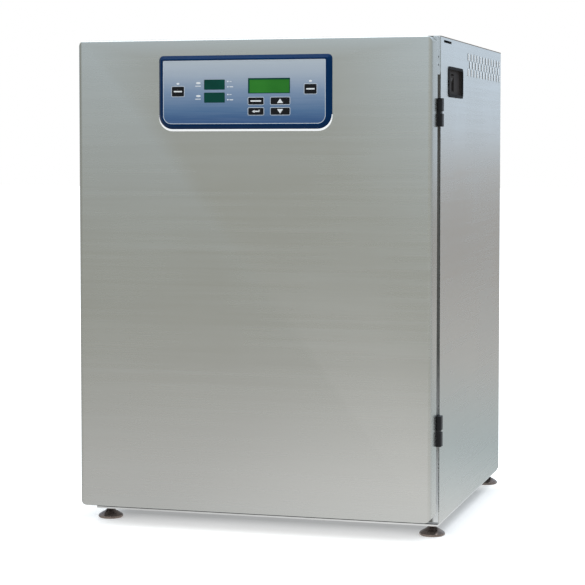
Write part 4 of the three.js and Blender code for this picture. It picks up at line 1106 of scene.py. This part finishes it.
def floor():
    """A white sweep. What the eye sees is near white with soft shadows, partly cast by the lamp and partly a
    painted shadow round the footprint, where the floor's glow is turned down; what the steel mirrors is a studio
    floor that is lit round the object and falls off behind the lamps."""
    tree = Tree("white floor")
    tone = tree.noise(0.7, 2.0, 0.5, 1.0)
    x, y = tree.axis("X"), tree.axis("Y")
    distance = tree.math("SQRT", tree.math("ADD", tree.math("MULTIPLY", x, x), tree.math("MULTIPLY", y, y)))
    tree.set(Base_Color=tree.mix(tone, color(0.81, 0.79, 0.765), color(0.84, 0.82, 0.795)), Roughness=0.9)
    tree.set(Specular_IOR_Level=0.0, Emission_Color=color(1, 1, 1))
    # painted shadow: the glow is least under the cabinet and rises to full over 0.15 m beyond a rectangle round
    # its middle
    outside = tree.math("MAXIMUM", tree.math("SUBTRACT", tree.math("ABSOLUTE", x), 0.31),
                        tree.math("SUBTRACT", tree.math("ABSOLUTE", y), 0.20))
    tree.set(Emission_Strength=tree.range(outside, 0.0, 0.15, FLOOR_GLOW_PAINTED_SHADOW, FLOOR_GLOW_FAR))
    behind = tree.range(y, -0.6, 0.8, 0.0, 1.0)
    near_front = tree.tone(x, -0.25, 0.30, NEAR_LEFT, NEAR_RIGHT)
    near = tree.mix(behind, near_front, color(*NEAR_SIDE))
    middle = tree.mix(behind, color(*MIDDLE_FRONT), color(*MIDDLE_SIDE))
    horizon = tree.mix(behind, color(*HORIZON_FRONT), color(*HORIZON_SIDE))
    mirrored = tree.mix(tree.range(distance, 0.5, 2.6, 0.0, 1.0), near, middle)
    mirrored = tree.mix(tree.range(distance, 2.6, 8.0, 0.0, 1.0), mirrored, horizon)
    glow = tree.node("ShaderNodeEmission")
    tree.link(mirrored, glow.inputs["Color"])
    tree.feed(glow.inputs["Strength"], tree.range(x, -1.1, 0.0, DIM_LEFT, 1.0))
    tree.choose(tree.shader.outputs[0], glow.outputs[0], "Material Output")
    bm = bmesh.new()
    corners = ((-1, -1), (1, -1), (1, 1), (-1, 1))
    bm.faces.new([bm.verts.new((u * FLOOR_REACH, v * FLOOR_REACH, 0)) for u, v in corners])
    mesh = bpy.data.meshes.new("floor")
    bm.to_mesh(mesh)
    bm.free()
    plane = bpy.data.objects.new("floor", mesh)
    bpy.context.scene.collection.objects.link(plane)
    mesh.materials.append(tree.material)


def sky():
    """A white studio to look at. What the steel mirrors is a pale blue wall on the hinge side and a duller,
    warmer one before the doors, both of them above a grey floor."""
    world = bpy.data.worlds.new("studio")
    bpy.context.scene.world = world
    tree = Tree("studio", world)
    coordinates = tree.node("ShaderNodeTexCoord")
    split = tree.node("ShaderNodeSeparateXYZ")
    tree.link(coordinates.outputs["Generated"], split.inputs[0])
    x, y, z = split.outputs
    behind = tree.range(y, -0.75, 0.45, 0.0, 1.0)
    front = tree.tone(z, 0.02, 0.34, WALL_LOW_FRONT, WALL_HIGH_FRONT)
    walls = tree.mix(behind, front, color(*WALL_SIDE))
    ground = tree.mix(behind, color(*HORIZON_FRONT), color(*HORIZON_SIDE))
    background = tree.tree.nodes["Background"]
    tree.link(tree.mix(tree.range(z, -0.004, 0.004, 0.0, 1.0), ground, walls), background.inputs["Color"])
    tree.link(tree.range(x, -0.55, 0.1, DIM_LEFT, BRIGHT_RIGHT), background.inputs["Strength"])
    white = tree.node("ShaderNodeBackground")
    white.inputs["Color"].default_value = color(1, 1, 1)
    tree.choose(white.outputs[0], background.outputs[0], "World Output")


def put(name, data, place, direction):
    """A lamp or a camera, set up at a place and turned to look along a direction."""
    piece = bpy.data.objects.new(name, data)
    bpy.context.scene.collection.objects.link(piece)
    piece.location = place
    piece.rotation_euler = direction.to_track_quat("-Z", "Y").to_euler()
    return piece


def overhead():
    data = bpy.data.lights.new("overhead", "AREA")
    data.shape = "RECTANGLE"
    data.size, data.size_y = LAMP_SIZE
    data.energy = LAMP_POWER
    put("overhead", data, LAMP_PLACE, Vector(LAMP_TARGET) - Vector(LAMP_PLACE))


def camera():
    azimuth, elevation = math.radians(CAMERA_AZIMUTH), math.radians(CAMERA_ELEVATION)
    back = Vector((math.sin(azimuth) * math.cos(elevation), -math.cos(azimuth) * math.cos(elevation),
                   math.sin(elevation)))
    data = bpy.data.cameras.new("camera")
    data.lens, data.sensor_width, data.shift_y = CAMERA_LENS, CAMERA_SENSOR, CAMERA_SHIFT
    data.clip_end = 60
    bpy.context.scene.camera = put("camera", data, CAMERA_PLACE, -back)


floor()
sky()
overhead()
camera()
bpy.context.scene.view_settings.view_transform = "Standard"
